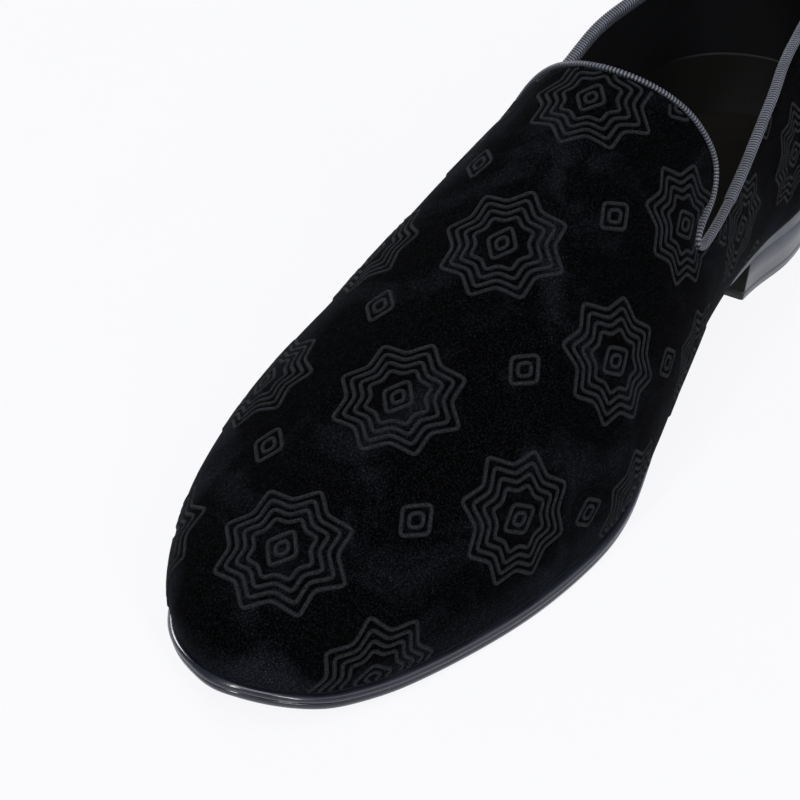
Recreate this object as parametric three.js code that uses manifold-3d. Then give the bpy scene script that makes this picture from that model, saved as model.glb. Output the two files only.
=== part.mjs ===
// A velvet slipper loafer for the left foot, standing on its heel and ball.
// Millimetres. +Y runs to the toe, +Z up, +X to the inner side of the foot.
// The origin is on the floor, in the middle of the heel's flat underside.

import * as THREE from 'three';
import { mergeVertices } from 'three/addons/utils/BufferGeometryUtils.js';
import Module from 'manifold-3d';

const wasm = await Module();
wasm.setup();

// Driving sizes of the last
const LAST_LENGTH = 287;
const TREAD_WIDTH = 87;
const CREST_HEIGHT = 88;
const HEEL_RISE = 15.8;
const TOE_SPRING = 9.2;
const WALL_SPREAD = 16;

// Driving sizes of the bottom
const SOLE_THICKNESS = 4.4;
const SOLE_FLANGE = 2.2;
const HEEL_LENGTH = 71;
const HEEL_TAPER = 1.2;
const LIFT_THICKNESS = 2.8;
const CLEARANCE = 0.3;

// Driving sizes of the upper
const UPPER_WALL = 2;
const LASTING_MARGIN = 9;
const LASTING_THICKNESS = 1.4;
const INSOLE_THICKNESS = 2.6;
const COLLAR_HEIGHT = 63;
const TONGUE_RISE = 80;
const COLLAR_LEAN = 0.08;
const COLLAR_SKEW = 0.08;
const BINDING_DEPTH = 2.6;
const BINDING_STAND = 0.45;

// How finely the curved pieces are cut
const STATIONS = 44;
const RIB_STEPS = 9;

// Feather line: share of the length, inner and outer half width as shares of the tread
const FEATHER_PLAN = [
  { along: 0.02, inner: 0.192, outer: 0.192 },
  { along: 0.07, inner: 0.308, outer: 0.322 },
  { along: 0.145, inner: 0.343, outer: 0.362 },
  { along: 0.22, inner: 0.334, outer: 0.346 },
  { along: 0.3, inner: 0.302, outer: 0.344 },
  { along: 0.385, inner: 0.288, outer: 0.367 },
  { along: 0.47, inner: 0.32, outer: 0.416 },
  { along: 0.56, inner: 0.394, outer: 0.475 },
  { along: 0.645, inner: 0.469, outer: 0.509 },
  { along: 0.72, inner: 0.505, outer: 0.492 },
  { along: 0.79, inner: 0.499, outer: 0.45 },
  { along: 0.86, inner: 0.449, outer: 0.378 },
  { along: 0.92, inner: 0.361, outer: 0.295 },
  { along: 0.965, inner: 0.253, outer: 0.204 },
  { along: 0.99, inner: 0.14, outer: 0.1 },
];
const TOE_POINT = 0.022;

// Feather line from the side: shares of the heel's rise and of the toe spring
const FEATHER_SIDE = [
  { along: 0, heel: 1, toe: 0 },
  { along: 0.12, heel: 0.938, toe: 0 },
  { along: 0.24, heel: 0.886, toe: 0 },
  { along: 0.36, heel: 0.688, toe: 0 },
  { along: 0.48, heel: 0.31, toe: 0 },
  { along: 0.58, heel: 0.07, toe: 0 },
  { along: 0.65, heel: 0, toe: 0 },
  { along: 0.76, heel: 0, toe: 0 },
  { along: 0.83, heel: 0, toe: 0.045 },
  { along: 0.9, heel: 0, toe: 0.17 },
  { along: 0.95, heel: 0, toe: 0.42 },
  { along: 1, heel: 0, toe: 1 },
];

// Crest of the form over its feather line, and its sideways shift, as shares
const CREST = [
  { along: 0.12, height: 0.98, shift: 0 },
  { along: 0.22, height: 0.99, shift: 0.005 },
  { along: 0.3, height: 1, shift: -0.01 },
  { along: 0.38, height: 0.978, shift: -0.035 },
  { along: 0.46, height: 0.928, shift: -0.052 },
  { along: 0.53, height: 0.873, shift: -0.061 },
  { along: 0.6, height: 0.783, shift: -0.061 },
  { along: 0.7, height: 0.631, shift: -0.058 },
  { along: 0.8, height: 0.502, shift: -0.045 },
  { along: 0.88, height: 0.397, shift: -0.028 },
  { along: 0.93, height: 0.32, shift: -0.02 },
];
const CREST_BACK = 0.12;
const CREST_FRONT = 0.9;

// Walls: outward pull as a share of the spread, how high it acts, and the crown's breadth
const WALLS = [
  { along: 0, pullIn: 0.53, pullOut: 0.53, lowIn: 0.4, lowOut: 0.4, crownIn: 0.84, crownOut: 0.84 },
  { along: 0.03, pullIn: 0.53, pullOut: 0.53, lowIn: 0.4, lowOut: 0.4, crownIn: 0.7, crownOut: 0.7 },
  { along: 0.09, pullIn: 0.58, pullOut: 0.48, lowIn: 0.41, lowOut: 0.4, crownIn: 0.5, crownOut: 0.47 },
  { along: 0.16, pullIn: 0.72, pullOut: 0.54, lowIn: 0.46, lowOut: 0.41, crownIn: 0.55, crownOut: 0.4 },
  { along: 0.25, pullIn: 1.03, pullOut: 0.82, lowIn: 0.5, lowOut: 0.45, crownIn: 0.7, crownOut: 0.47 },
  { along: 0.4, pullIn: 1.24, pullOut: 0.85, lowIn: 0.55, lowOut: 0.51, crownIn: 0.7, crownOut: 0.67 },
  { along: 0.55, pullIn: 1, pullOut: 0.52, lowIn: 0.61, lowOut: 0.47, crownIn: 0.69, crownOut: 0.69 },
  { along: 0.7, pullIn: 0.54, pullOut: 0.31, lowIn: 0.63, lowOut: 0.51, crownIn: 0.7, crownOut: 0.7 },
  { along: 0.85, pullIn: 0.4, pullOut: 0.21, lowIn: 0.66, lowOut: 0.58, crownIn: 0.68, crownOut: 0.68 },
  { along: 1, pullIn: 0.22, pullOut: 0.18, lowIn: 0.62, lowOut: 0.62, crownIn: 0.65, crownOut: 0.65 },
];

// Sole beyond the feather line, as shares of the flange: tucked under at the waist
const FLANGE = [
  { along: 0, inner: 0.2, outer: 0.2 },
  { along: 0.1, inner: 0.3, outer: 0.3 },
  { along: 0.24, inner: 0.1, outer: -0.6 },
  { along: 0.34, inner: -0.6, outer: -0.7 },
  { along: 0.46, inner: -0.9, outer: -0.7 },
  { along: 0.54, inner: -0.2, outer: -0.2 },
  { along: 0.62, inner: 0.6, outer: 0.6 },
  { along: 0.7, inner: 0.95, outer: 0.95 },
  { along: 0.85, inner: 0.75, outer: 0.65 },
  { along: 1, inner: 0.65, outer: 0.65 },
];

// Topline of the quarters, from behind the heel to the notch, over the feather line
const TOPLINE = [
  { along: -0.06, height: 1.03 },
  { along: 0, height: 1.008 },
  { along: 0.05, height: 0.992 },
  { along: 0.105, height: 0.967 },
  { along: 0.171, height: 0.92 },
  { along: 0.224, height: 0.868 },
  { along: 0.266, height: 0.822 },
  { along: 0.312, height: 0.773 },
  { along: 0.354, height: 0.739 },
  { along: 0.396, height: 0.726 },
  { along: 0.434, height: 0.733 },
  { along: 0.46, height: 0.744 },
];

// Edge of the tongue's lobe, from the bottom of the notch up past the crest
const TONGUE_EDGE = [
  { along: 0.475, height: 0.607 },
  { along: 0.464, height: 0.636 },
  { along: 0.448, height: 0.652 },
  { along: 0.432, height: 0.665 },
  { along: 0.418, height: 0.7 },
  { along: 0.411, height: 0.75 },
  { along: 0.413, height: 0.82 },
  { along: 0.42, height: 0.9 },
  { along: 0.43, height: 0.97 },
  { along: 0.445, height: 1.045 },
  { along: 0.46, height: 1.1 },
  { along: 0.48, height: 1.18 },
];

// Monotone cubic through the rows of a table
function curve(rows, column) {
  const x = rows.map((row) => row.along);
  const y = rows.map((row) => row[column]);
  const secants = x.slice(1).map((value, i) => (y[i + 1] - y[i]) / (value - x[i]));
  const tangents = x.map((value, i) => {
    if (i === 0) return secants[0];
    if (i === x.length - 1) return secants[i - 1];
    const before = secants[i - 1];
    const after = secants[i];
    return before * after <= 0 ? 0 : (2 * before * after) / (before + after);
  });
  return (at) => {
    const clamped = Math.min(Math.max(at, x[0]), x[x.length - 1]);
    let i = 0;
    while (i < x.length - 2 && clamped > x[i + 1]) i += 1;
    const span = x[i + 1] - x[i];
    const t = (clamped - x[i]) / span;
    return (2 * t ** 3 - 3 * t ** 2 + 1) * y[i] + (t ** 3 - 2 * t ** 2 + t) * span * tangents[i]
      + (3 * t ** 2 - 2 * t ** 3) * y[i + 1] + (t ** 3 - t ** 2) * span * tangents[i + 1];
  };
}

// Height of the feather line over the floor
const heelShare = curve(FEATHER_SIDE, 'heel');
const toeShare = curve(FEATHER_SIDE, 'toe');
function featherHeight(y) {
  const at = y / LAST_LENGTH;
  return SOLE_THICKNESS + CLEARANCE + HEEL_RISE * heelShare(at) + TOE_SPRING * toeShare(at);
}

// The feather line as one closed curve, heel to toe on the inner side and back
const planPoints = [
  new THREE.Vector3(0, 0, 0),
  ...FEATHER_PLAN.map((row) => new THREE.Vector3(row.inner * TREAD_WIDTH, row.along * LAST_LENGTH, 0)),
  new THREE.Vector3(TOE_POINT * TREAD_WIDTH, LAST_LENGTH, 0),
  ...[...FEATHER_PLAN].reverse()
    .map((row) => new THREE.Vector3(-row.outer * TREAD_WIDTH, row.along * LAST_LENGTH, 0)),
];
const featherPlan = new THREE.CatmullRomCurve3(planPoints, true, 'centripetal');

// Point of the feather line at a given y, with the outward direction there
const BISECTIONS = 40;
function featherPoint(y, inner) {
  let low = inner ? 0 : 1;
  let high = 0.5;
  for (let i = 0; i < BISECTIONS; i += 1) {
    const middle = (low + high) / 2;
    if (featherPlan.getPoint(middle).y < y) low = middle;
    else high = middle;
  }
  const parameter = (low + high) / 2;
  const point = featherPlan.getPoint(parameter);
  const tangent = featherPlan.getTangent(parameter);
  return { point, outward: new THREE.Vector3(tangent.y, -tangent.x, 0) };
}

// Crest of the form, which the ribs of both sides share
const crestHeight = curve(CREST, 'height');
const crestShift = curve(CREST, 'shift');
function crestPoint(y) {
  const at = y / LAST_LENGTH;
  const z = featherHeight(y) + CREST_HEIGHT * crestHeight(at);
  return new THREE.Vector3(crestShift(at) * TREAD_WIDTH, y, z);
}

// Where a rib from the feather line at y meets the crest: fanned at the toe and the heel
const FAN_FRONT = 0.72 * LAST_LENGTH;
const FAN_BACK = 0.3 * LAST_LENGTH;
const FAN_END_SLOPE = 0.3;
function fanShare(t, startSlope) {
  return startSlope * (t ** 3 - 2 * t ** 2 + t) + 3 * t ** 2 - 2 * t ** 3
    + FAN_END_SLOPE * (t ** 3 - t ** 2);
}
function crestPlace(y) {
  if (y > FAN_FRONT) {
    const reach = LAST_LENGTH - FAN_FRONT;
    const run = CREST_FRONT * LAST_LENGTH - FAN_FRONT;
    return FAN_FRONT + run * fanShare((y - FAN_FRONT) / reach, reach / run);
  }
  if (y < FAN_BACK) {
    const run = FAN_BACK - CREST_BACK * LAST_LENGTH;
    return FAN_BACK - run * fanShare((FAN_BACK - y) / FAN_BACK, FAN_BACK / run);
  }
  return y;
}

// One rib of the form: a cubic from the feather line up the wall and over to the crest
const wallCurves = Object.fromEntries(
  ['pullIn', 'pullOut', 'lowIn', 'lowOut', 'crownIn', 'crownOut'].map((name) => [name, curve(WALLS, name)]),
);
const SIDE_BLEND = 0.14 * TREAD_WIDTH;
const SLOPE_STEP = 1;
function rib(y, inner) {
  const { point, outward } = featherPoint(y, inner);
  const at = y / LAST_LENGTH;
  const innerShare = THREE.MathUtils.clamp(0.5 + point.x / (2 * SIDE_BLEND), 0, 1);
  const blend = (name) => THREE.MathUtils.lerp(
    wallCurves[`${name}Out`](at), wallCurves[`${name}In`](at), innerShare);
  const foot = point.clone().setZ(featherHeight(y));
  const top = crestPoint(crestPlace(y));
  const crestSlope = (crestPoint(top.y + SLOPE_STEP).z - crestPoint(top.y - SLOPE_STEP).z) / (2 * SLOPE_STEP);
  const wall = foot.clone().addScaledVector(outward, blend('pull') * WALL_SPREAD);
  wall.z += blend('low') * (top.z - foot.z);
  const crown = top.clone().lerp(foot.clone().setZ(top.z), blend('crown'));
  crown.z += crestSlope * (crown.y - top.y);
  return new THREE.CubicBezierCurve3(foot, wall, crown, top);
}

// Places of the ribs along the shoe, closer together toward the toe and the heel
const stations = Array.from({ length: STATIONS + 1 },
  (_, k) => (LAST_LENGTH * (1 - Math.cos((Math.PI * k) / STATIONS))) / 2);

// A closed solid from loose triangles
const MERGE_DISTANCE = 1e-4;
function solid(triangles) {
  const geometry = new THREE.BufferGeometry();
  const corners = triangles.flat().flatMap((corner) => [corner.x, corner.y, corner.z]);
  geometry.setAttribute('position', new THREE.Float32BufferAttribute(corners, 3));
  const merged = mergeVertices(geometry, MERGE_DISTANCE);
  const index = Array.from(merged.index.array);
  const kept = [];
  for (let i = 0; i < index.length; i += 3) {
    const [a, b, c] = index.slice(i, i + 3);
    if (a !== b && b !== c && c !== a) kept.push(a, b, c);
  }
  return new wasm.Manifold(new wasm.Mesh({
    numProp: 3,
    vertProperties: new Float32Array(merged.attributes.position.array),
    triVerts: new Uint32Array(kept),
  }));
}

function quad(a, b, c, d) {
  return a.distanceTo(c) < b.distanceTo(d) ? [[a, b, c], [a, c, d]] : [[a, b, d], [b, c, d]];
}

// Rows of the form's outer face: inner feather edge, over the crest, to the outer feather edge
const formRows = stations.map((y) => {
  const inner = rib(y, true).getPoints(RIB_STEPS);
  const outer = rib(y, false).getPoints(RIB_STEPS).reverse();
  return [...inner, ...outer.slice(1)];
});
// The first and last ribs are single, so both of their sides are one
for (const row of [formRows[0], formRows[STATIONS]]) {
  for (let j = 0; j < RIB_STEPS; j += 1) row[row.length - 1 - j] = row[j];
}

// Directions out of the form at each point of its rows
function outwardDirections(rows) {
  const sums = new Map();
  const key = (point) => `${point.x.toFixed(3)},${point.y.toFixed(3)},${point.z.toFixed(3)}`;
  const faceNormal = new THREE.Vector3();
  for (let k = 0; k < rows.length - 1; k += 1) {
    for (let j = 0; j < rows[k].length - 1; j += 1) {
      const corners = [rows[k][j], rows[k + 1][j], rows[k + 1][j + 1], rows[k][j + 1]];
      faceNormal.crossVectors(corners[2].clone().sub(corners[0]), corners[3].clone().sub(corners[1]));
      for (const corner of corners) {
        if (!sums.has(key(corner))) sums.set(key(corner), new THREE.Vector3());
        sums.get(key(corner)).add(faceNormal);
      }
    }
  }
  return rows.map((row) => row.map((point) => sums.get(key(point)).clone().normalize()));
}
const formOutward = outwardDirections(formRows);

// The form grown or shrunk by a distance, closed underneath at a height over the feather line
function formSolid(grow, underside) {
  const rows = formRows.map((row, k) => row.map((point, j) => {
    const moved = point.clone().addScaledVector(formOutward[k][j], grow);
    if (j === 0 || j === row.length - 1) moved.z = featherHeight(moved.y) + underside;
    return moved;
  }));
  const triangles = [];
  const last = rows[0].length - 1;
  for (let k = 0; k < STATIONS; k += 1) {
    for (let j = 0; j < last; j += 1) {
      triangles.push(...quad(rows[k][j], rows[k + 1][j], rows[k + 1][j + 1], rows[k][j + 1]));
    }
    triangles.push(...quad(rows[k][0], rows[k][last], rows[k + 1][last], rows[k + 1][0]));
  }
  return solid(triangles);
}

// A solid of stacked outlines. A level gives the point at a place along either side.
function stack(levels, places) {
  const rings = levels.map((level) => [
    ...places.map((y) => level(y, true)),
    ...[...places].reverse().map((y) => level(y, false)),
  ]);
  const triangles = [];
  const count = rings[0].length;
  for (let i = 0; i < rings.length - 1; i += 1) {
    for (let j = 0; j < count; j += 1) {
      const next = (j + 1) % count;
      triangles.push(...quad(rings[i][j], rings[i][next], rings[i + 1][next], rings[i + 1][j]));
    }
  }
  const bottom = rings[0];
  const top = rings[rings.length - 1];
  for (let k = 0; k < places.length - 1; k += 1) {
    const across = count - 1 - k;
    triangles.push(...quad(top[k], top[k + 1], top[across - 1], top[across]));
    triangles.push(...quad(bottom[across], bottom[across - 1], bottom[k + 1], bottom[k]));
  }
  return solid(triangles);
}

// Point beside the feather line, moved outward in plan
function besideFeather(y, inner, distance) {
  const { point, outward } = featherPoint(y, inner);
  return point.clone().addScaledVector(outward, distance);
}

// Outsole: a rounded bead on top, a groove, and a band below that draws in to the tread.
// Each row is a share of the sole's thickness down from its top and in from its edge.
const SOLE_SECTION = [
  { drop: 1, inset: 0.25 },
  { drop: 0.86, inset: 0.1 },
  { drop: 0.55, inset: 0.07 },
  { drop: 0.5, inset: 0.17 },
  { drop: 0.44, inset: 0.045 },
  { drop: 0.22, inset: 0 },
  { drop: 0.05, inset: 0.055 },
  { drop: 0, inset: 0.16 },
];
const flangeCurves = { true: curve(FLANGE, 'inner'), false: curve(FLANGE, 'outer') };
function flangeReach(y, inner) {
  return SOLE_FLANGE * flangeCurves[inner](y / LAST_LENGTH);
}
function makeOutsole() {
  const levels = SOLE_SECTION.map((row) => (y, inner) => {
    const point = besideFeather(y, inner, flangeReach(y, inner) - row.inset * SOLE_THICKNESS);
    return point.setZ(featherHeight(point.y) - CLEARANCE - row.drop * SOLE_THICKNESS);
  });
  return stack(levels, stations);
}

// Heel: a block with a straight breast, drawn in toward the floor, and its top lift
const HEEL_STATIONS = 18;
const heelStations = Array.from({ length: HEEL_STATIONS + 1 },
  (_, k) => HEEL_LENGTH * (1 - Math.cos((Math.PI * k) / (2 * HEEL_STATIONS))));
function soleUnderside(y) {
  return featherHeight(y) - CLEARANCE - SOLE_THICKNESS;
}
function heelPoint(y, inner, height) {
  const full = soleUnderside(y) - CLEARANCE;
  const draw = HEEL_TAPER * (1 - height / full);
  const point = besideFeather(y, inner, flangeReach(y, inner) - draw);
  point.y = Math.min(point.y, HEEL_LENGTH - draw);
  return point.setZ(height);
}
function makeHeelBlock() {
  const low = (y, inner) => heelPoint(y, inner, LIFT_THICKNESS + CLEARANCE);
  const high = (y, inner) => heelPoint(y, inner, soleUnderside(y) - CLEARANCE);
  return stack([low, high], heelStations);
}
function makeTopLift() {
  const low = (y, inner) => heelPoint(y, inner, 0);
  const high = (y, inner) => heelPoint(y, inner, LIFT_THICKNESS);
  return stack([low, high], heelStations);
}

// Insole on the turned-in margin, inside the upper's wall
function makeInsole() {
  const inset = UPPER_WALL + CLEARANCE * 2;
  const seat = LASTING_THICKNESS + CLEARANCE;
  const level = (rise, extra) => (y, inner) => {
    const point = besideFeather(y, inner, -inset - extra);
    return point.setZ(featherHeight(point.y) + seat + rise);
  };
  const edge = INSOLE_THICKNESS / 3;
  return stack([level(0, 0), level(INSOLE_THICKNESS - edge, 0), level(INSOLE_THICKNESS, edge)], stations);
}

// Side view of the mouth: topline, notch and tongue edge, as one smooth line from behind
const EDGE_STEPS = 64;
const mouthLine = new THREE.CatmullRomCurve3([
  ...TOPLINE.map((row) => {
    const y = row.along * LAST_LENGTH;
    return new THREE.Vector3(0, y, featherHeight(y) + row.height * COLLAR_HEIGHT);
  }),
  ...TONGUE_EDGE.map((row) => {
    const y = row.along * LAST_LENGTH;
    return new THREE.Vector3(0, y, featherHeight(y) + row.height * TONGUE_RISE);
  }),
], false, 'centripetal');

// The mouth as a cutter across the shoe, grown into the upper by a distance
const CUTTER_HALF = TREAD_WIDTH;
const CUTTER_TOP = 3 * CREST_HEIGHT;
function mouthCutter(grow) {
  const edge = mouthLine.getSpacedPoints(EDGE_STEPS);
  const moved = edge.map((point, i) => {
    const before = edge[Math.max(i - 1, 0)];
    const after = edge[Math.min(i + 1, EDGE_STEPS)];
    const along = after.clone().sub(before).normalize();
    return new THREE.Vector2(point.y + along.z * grow, point.z - along.y * grow);
  });
  const outline = [
    ...moved,
    new THREE.Vector2(moved[EDGE_STEPS].x, CUTTER_TOP),
    new THREE.Vector2(moved[0].x, CUTTER_TOP),
  ];
  const place = (point, x) => new THREE.Vector3(x, point.x + COLLAR_SKEW * x, point.y + COLLAR_LEAN * x);
  const triangles = [];
  for (const [a, b, c] of THREE.ShapeUtils.triangulateShape(outline, [])) {
    triangles.push([outline[a], outline[b], outline[c]].map((point) => place(point, CUTTER_HALF)));
    triangles.push([outline[c], outline[b], outline[a]].map((point) => place(point, -CUTTER_HALF)));
  }
  outline.forEach((point, i) => {
    const next = outline[(i + 1) % outline.length];
    triangles.push([place(point, -CUTTER_HALF), place(next, -CUTTER_HALF), place(next, CUTTER_HALF)]);
    triangles.push([place(point, -CUTTER_HALF), place(next, CUTTER_HALF), place(point, CUTTER_HALF)]);
  });
  return solid(triangles);
}

// Upper: a hollow wall, open at the mouth and, inside its turned-in margin, underneath
function makeUpper() {
  const levels = [-LASTING_THICKNESS, 2 * LASTING_THICKNESS].map((rise) => (y, inner) => {
    const point = besideFeather(y, inner, -UPPER_WALL - LASTING_MARGIN);
    return point.setZ(featherHeight(point.y) + rise);
  });
  const opening = stack(levels, stations);
  return formSolid(0, 0)
    .subtract(formSolid(-UPPER_WALL, LASTING_THICKNESS))
    .subtract(mouthCutter(BINDING_DEPTH + CLEARANCE))
    .subtract(opening);
}

// Binding: a ribbon folded over the wall's edge all the way round the mouth
function makeBinding() {
  const band = mouthCutter(BINDING_DEPTH).subtract(mouthCutter(0));
  return formSolid(BINDING_STAND, 0)
    .subtract(formSolid(-UPPER_WALL - BINDING_STAND, LASTING_THICKNESS))
    .intersect(band);
}

// A named mesh in its own finish
function piece(name, body, color, roughness) {
  const { vertProperties, triVerts } = body.getMesh();
  const geometry = new THREE.BufferGeometry();
  geometry.setAttribute('position', new THREE.Float32BufferAttribute(vertProperties, 3));
  geometry.setIndex(Array.from(triVerts));
  geometry.computeVertexNormals();
  const mesh = new THREE.Mesh(geometry, new THREE.MeshStandardMaterial({ color, roughness, metalness: 0 }));
  mesh.name = name;
  return mesh;
}

const group = new THREE.Group();
group.add(
  piece('upper', makeUpper(), 0x0a0a0d, 0.9),
  piece('topline_binding', makeBinding(), 0x3a3b42, 0.7),
  piece('insole', makeInsole(), 0x141312, 0.55),
  piece('outsole', makeOutsole(), 0x2a2b30, 0.35),
  piece('heel_block', makeHeelBlock(), 0x26272b, 0.4),
  piece('heel_top_lift', makeTopLift(), 0x1c1c1f, 0.6),
);

// The origin lies in the middle of the heel's underside
group.position.y = -HEEL_LENGTH / 2;

export default group;
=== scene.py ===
# %% [markdown]
# A velvet slipper loafer for the left foot, dressed for its picture.
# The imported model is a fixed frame: it says how big the shoe is and where each piece lies. This script
# makes the surfaces that a camera sees: velvet with corded stars, a ribbed ribbon round the mouth, a
# lined and padded inside, a waxed sole edge and a low heel. It is read from top to bottom, and each
# piece is explained before it is made.

# %% Load the frame
import math

import bmesh
import bpy
import numpy as np
from mathutils import Matrix, Vector
from mathutils.bvhtree import BVHTree
from mathutils.geometry import interpolate_bezier
from mathutils.kdtree import KDTree


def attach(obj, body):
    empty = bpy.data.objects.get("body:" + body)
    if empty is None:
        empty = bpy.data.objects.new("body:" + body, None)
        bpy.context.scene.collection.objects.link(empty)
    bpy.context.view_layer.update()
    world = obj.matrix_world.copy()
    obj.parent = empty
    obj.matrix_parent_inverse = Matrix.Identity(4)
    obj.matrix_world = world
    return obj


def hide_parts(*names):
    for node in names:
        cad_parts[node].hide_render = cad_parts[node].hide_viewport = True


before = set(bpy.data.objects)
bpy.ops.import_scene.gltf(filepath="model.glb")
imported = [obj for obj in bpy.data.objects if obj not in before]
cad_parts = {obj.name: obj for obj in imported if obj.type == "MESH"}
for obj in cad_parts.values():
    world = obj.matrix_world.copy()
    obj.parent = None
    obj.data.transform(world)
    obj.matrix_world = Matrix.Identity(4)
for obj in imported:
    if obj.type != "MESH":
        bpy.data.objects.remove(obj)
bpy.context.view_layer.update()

# %% [markdown]
# A shoe is shaped on a last, so this script works in the last's own millimetres: y runs from the back of
# the feather line, where upper and sole meet, to the toe, x to the inner side of the foot and z up.
# Only a finished mesh is turned into metres and set on the frame's origin, in the middle of the heel.

# %% Sizes of the last, the bottom and the mouth
MM = 0.001
LAST_LENGTH = 287
TREAD_WIDTH = 87
CREST_HEIGHT = 88
HEEL_RISE = 15.8
TOE_SPRING = 9.2
WALL_SPREAD = 16
SOLE_THICKNESS = 4.4
SOLE_FLANGE = 2.2
HEEL_LENGTH = 71
HEEL_TAPER = 1.2
LIFT_THICKNESS = 2.8
CLEARANCE = 0.3
UPPER_WALL = 2
LASTING_MARGIN = 9
LASTING_THICKNESS = 1.4
INSOLE_THICKNESS = 2.6
COLLAR_HEIGHT = 63
TONGUE_RISE = 80
COLLAR_LEAN = 0.08
COLLAR_SKEW = 0.08

# %% [markdown]
# The last is described by short tables, as a last maker marks stations along it: the plan and height of
# the feather line, the crest over the instep, the walls between them, the sole's flange and the mouth.
# Every number in them is a share of one of the sizes above. It could be sculpted by hand, but a table
# keeps the shape in step with its sizes. A smooth curve that never overshoots joins the stations.

# %% Tables of the last
FEATHER_PLAN = {
    "along": (0.02, 0.07, 0.145, 0.22, 0.3, 0.385, 0.47, 0.56, 0.645, 0.72, 0.79, 0.86, 0.92, 0.965, 0.99),
    "inner": (0.192, 0.308, 0.343, 0.334, 0.302, 0.288, 0.32, 0.394, 0.469, 0.505, 0.499, 0.449, 0.361,
              0.253, 0.14),
    "outer": (0.192, 0.322, 0.362, 0.346, 0.344, 0.367, 0.416, 0.475, 0.509, 0.492, 0.45, 0.378, 0.295,
              0.204, 0.1),
}
TOE_POINT = 0.022
FEATHER_SIDE = {
    "along": (0, 0.12, 0.24, 0.36, 0.48, 0.58, 0.65, 0.76, 0.83, 0.9, 0.95, 1),
    "heel": (1, 0.938, 0.886, 0.688, 0.31, 0.07, 0, 0, 0, 0, 0, 0),
    "toe": (0, 0, 0, 0, 0, 0, 0, 0, 0.045, 0.17, 0.42, 1),
}
CREST = {
    "along": (0.12, 0.22, 0.3, 0.38, 0.46, 0.53, 0.6, 0.7, 0.8, 0.88, 0.93),
    "height": (0.98, 0.99, 1, 0.978, 0.928, 0.873, 0.783, 0.631, 0.502, 0.397, 0.32),
    "shift": (0, 0.005, -0.01, -0.035, -0.052, -0.061, -0.061, -0.058, -0.045, -0.028, -0.02),
}
WALLS = {
    "along": (0, 0.03, 0.09, 0.16, 0.25, 0.4, 0.55, 0.7, 0.85, 1),
    "pull_inner": (0.53, 0.53, 0.58, 0.72, 1.03, 1.24, 1, 0.54, 0.4, 0.22),
    "pull_outer": (0.53, 0.53, 0.48, 0.54, 0.82, 0.85, 0.52, 0.31, 0.21, 0.18),
    "low_inner": (0.4, 0.4, 0.41, 0.46, 0.5, 0.55, 0.61, 0.63, 0.66, 0.62),
    "low_outer": (0.4, 0.4, 0.4, 0.41, 0.45, 0.51, 0.47, 0.51, 0.58, 0.62),
    "crown_inner": (0.84, 0.7, 0.5, 0.55, 0.7, 0.7, 0.69, 0.7, 0.68, 0.65),
    "crown_outer": (0.84, 0.7, 0.47, 0.4, 0.47, 0.67, 0.69, 0.7, 0.68, 0.65),
}
FLANGE = {
    "along": (0, 0.1, 0.24, 0.34, 0.46, 0.54, 0.62, 0.7, 0.85, 1),
    "inner": (0.2, 0.3, 0.1, -0.6, -0.9, -0.2, 0.6, 0.95, 0.75, 0.65),
    "outer": (0.2, 0.3, -0.6, -0.7, -0.7, -0.2, 0.6, 0.95, 0.65, 0.65),
}
TOPLINE = {
    "along": (-0.06, 0, 0.05, 0.105, 0.171, 0.224, 0.266, 0.312, 0.354, 0.396, 0.434, 0.46),
    "height": (1.03, 1.008, 0.992, 0.967, 0.92, 0.868, 0.822, 0.773, 0.739, 0.726, 0.733, 0.744),
}
TONGUE_EDGE = {
    "along": (0.475, 0.464, 0.448, 0.432, 0.418, 0.411, 0.413, 0.42, 0.43, 0.445, 0.46, 0.48),
    "height": (0.607, 0.636, 0.652, 0.665, 0.7, 0.75, 0.82, 0.9, 0.97, 1.045, 1.1, 1.18),
}


# %% Smooth curves through a table
def follow(table, column):
    """A monotone cubic through a column of a table, as a function of the share along the shoe."""
    x = np.array(table["along"], float)
    y = np.array(table[column], float)
    secants = np.diff(y) / np.diff(x)
    before, after = secants[:-1], secants[1:]
    turning = before * after <= 0
    inner = np.where(turning, 0, 2 * before * after / np.where(turning, 1, before + after))
    tangents = np.concatenate([secants[:1], inner, secants[-1:]])

    def value(at):
        at = np.clip(at, x[0], x[-1])
        i = np.clip(np.searchsorted(x, at) - 1, 0, len(x) - 2)
        span = x[i + 1] - x[i]
        t = (at - x[i]) / span
        ends = (2 * t**3 - 3 * t**2 + 1) * y[i] + (3 * t**2 - 2 * t**3) * y[i + 1]
        slopes = (t**3 - 2 * t**2 + t) * tangents[i] + (t**3 - t**2) * tangents[i + 1]
        return ends + span * slopes

    return value


def centripetal(points, steps):
    """Points of a smooth curve through all but the first and last of the given points."""
    samples = []
    for p0, p1, p2, p3 in zip(points, points[1:], points[2:], points[3:]):
        d0, d1, d2 = (math.sqrt(np.linalg.norm(b - a)) for a, b in ((p0, p1), (p1, p2), (p2, p3)))
        leave = ((p1 - p0) / d0 - (p2 - p0) / (d0 + d1) + (p2 - p1) / d1) * d1
        arrive = ((p2 - p1) / d1 - (p3 - p1) / (d1 + d2) + (p3 - p2) / d2) * d1
        for t in np.arange(steps) / steps:
            bend = 3 * (p2 - p1) - 2 * leave - arrive
            twist = 2 * (p1 - p2) + leave + arrive
            samples.append(p1 + leave * t + bend * t**2 + twist * t**3)
    samples.append(points[-2])
    return np.array(samples)


# %% [markdown]
# The feather line is the sharp edge round the last's bottom, where the upper meets the sole, and every
# outline of the bottom is offset from it. A curve object could hold it, but the script also has to ask
# it for the point and the way out at any place along the shoe, so it is kept as two rows of points.

# %% The feather line
heel_share = follow(FEATHER_SIDE, "heel")
toe_share = follow(FEATHER_SIDE, "toe")


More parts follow.
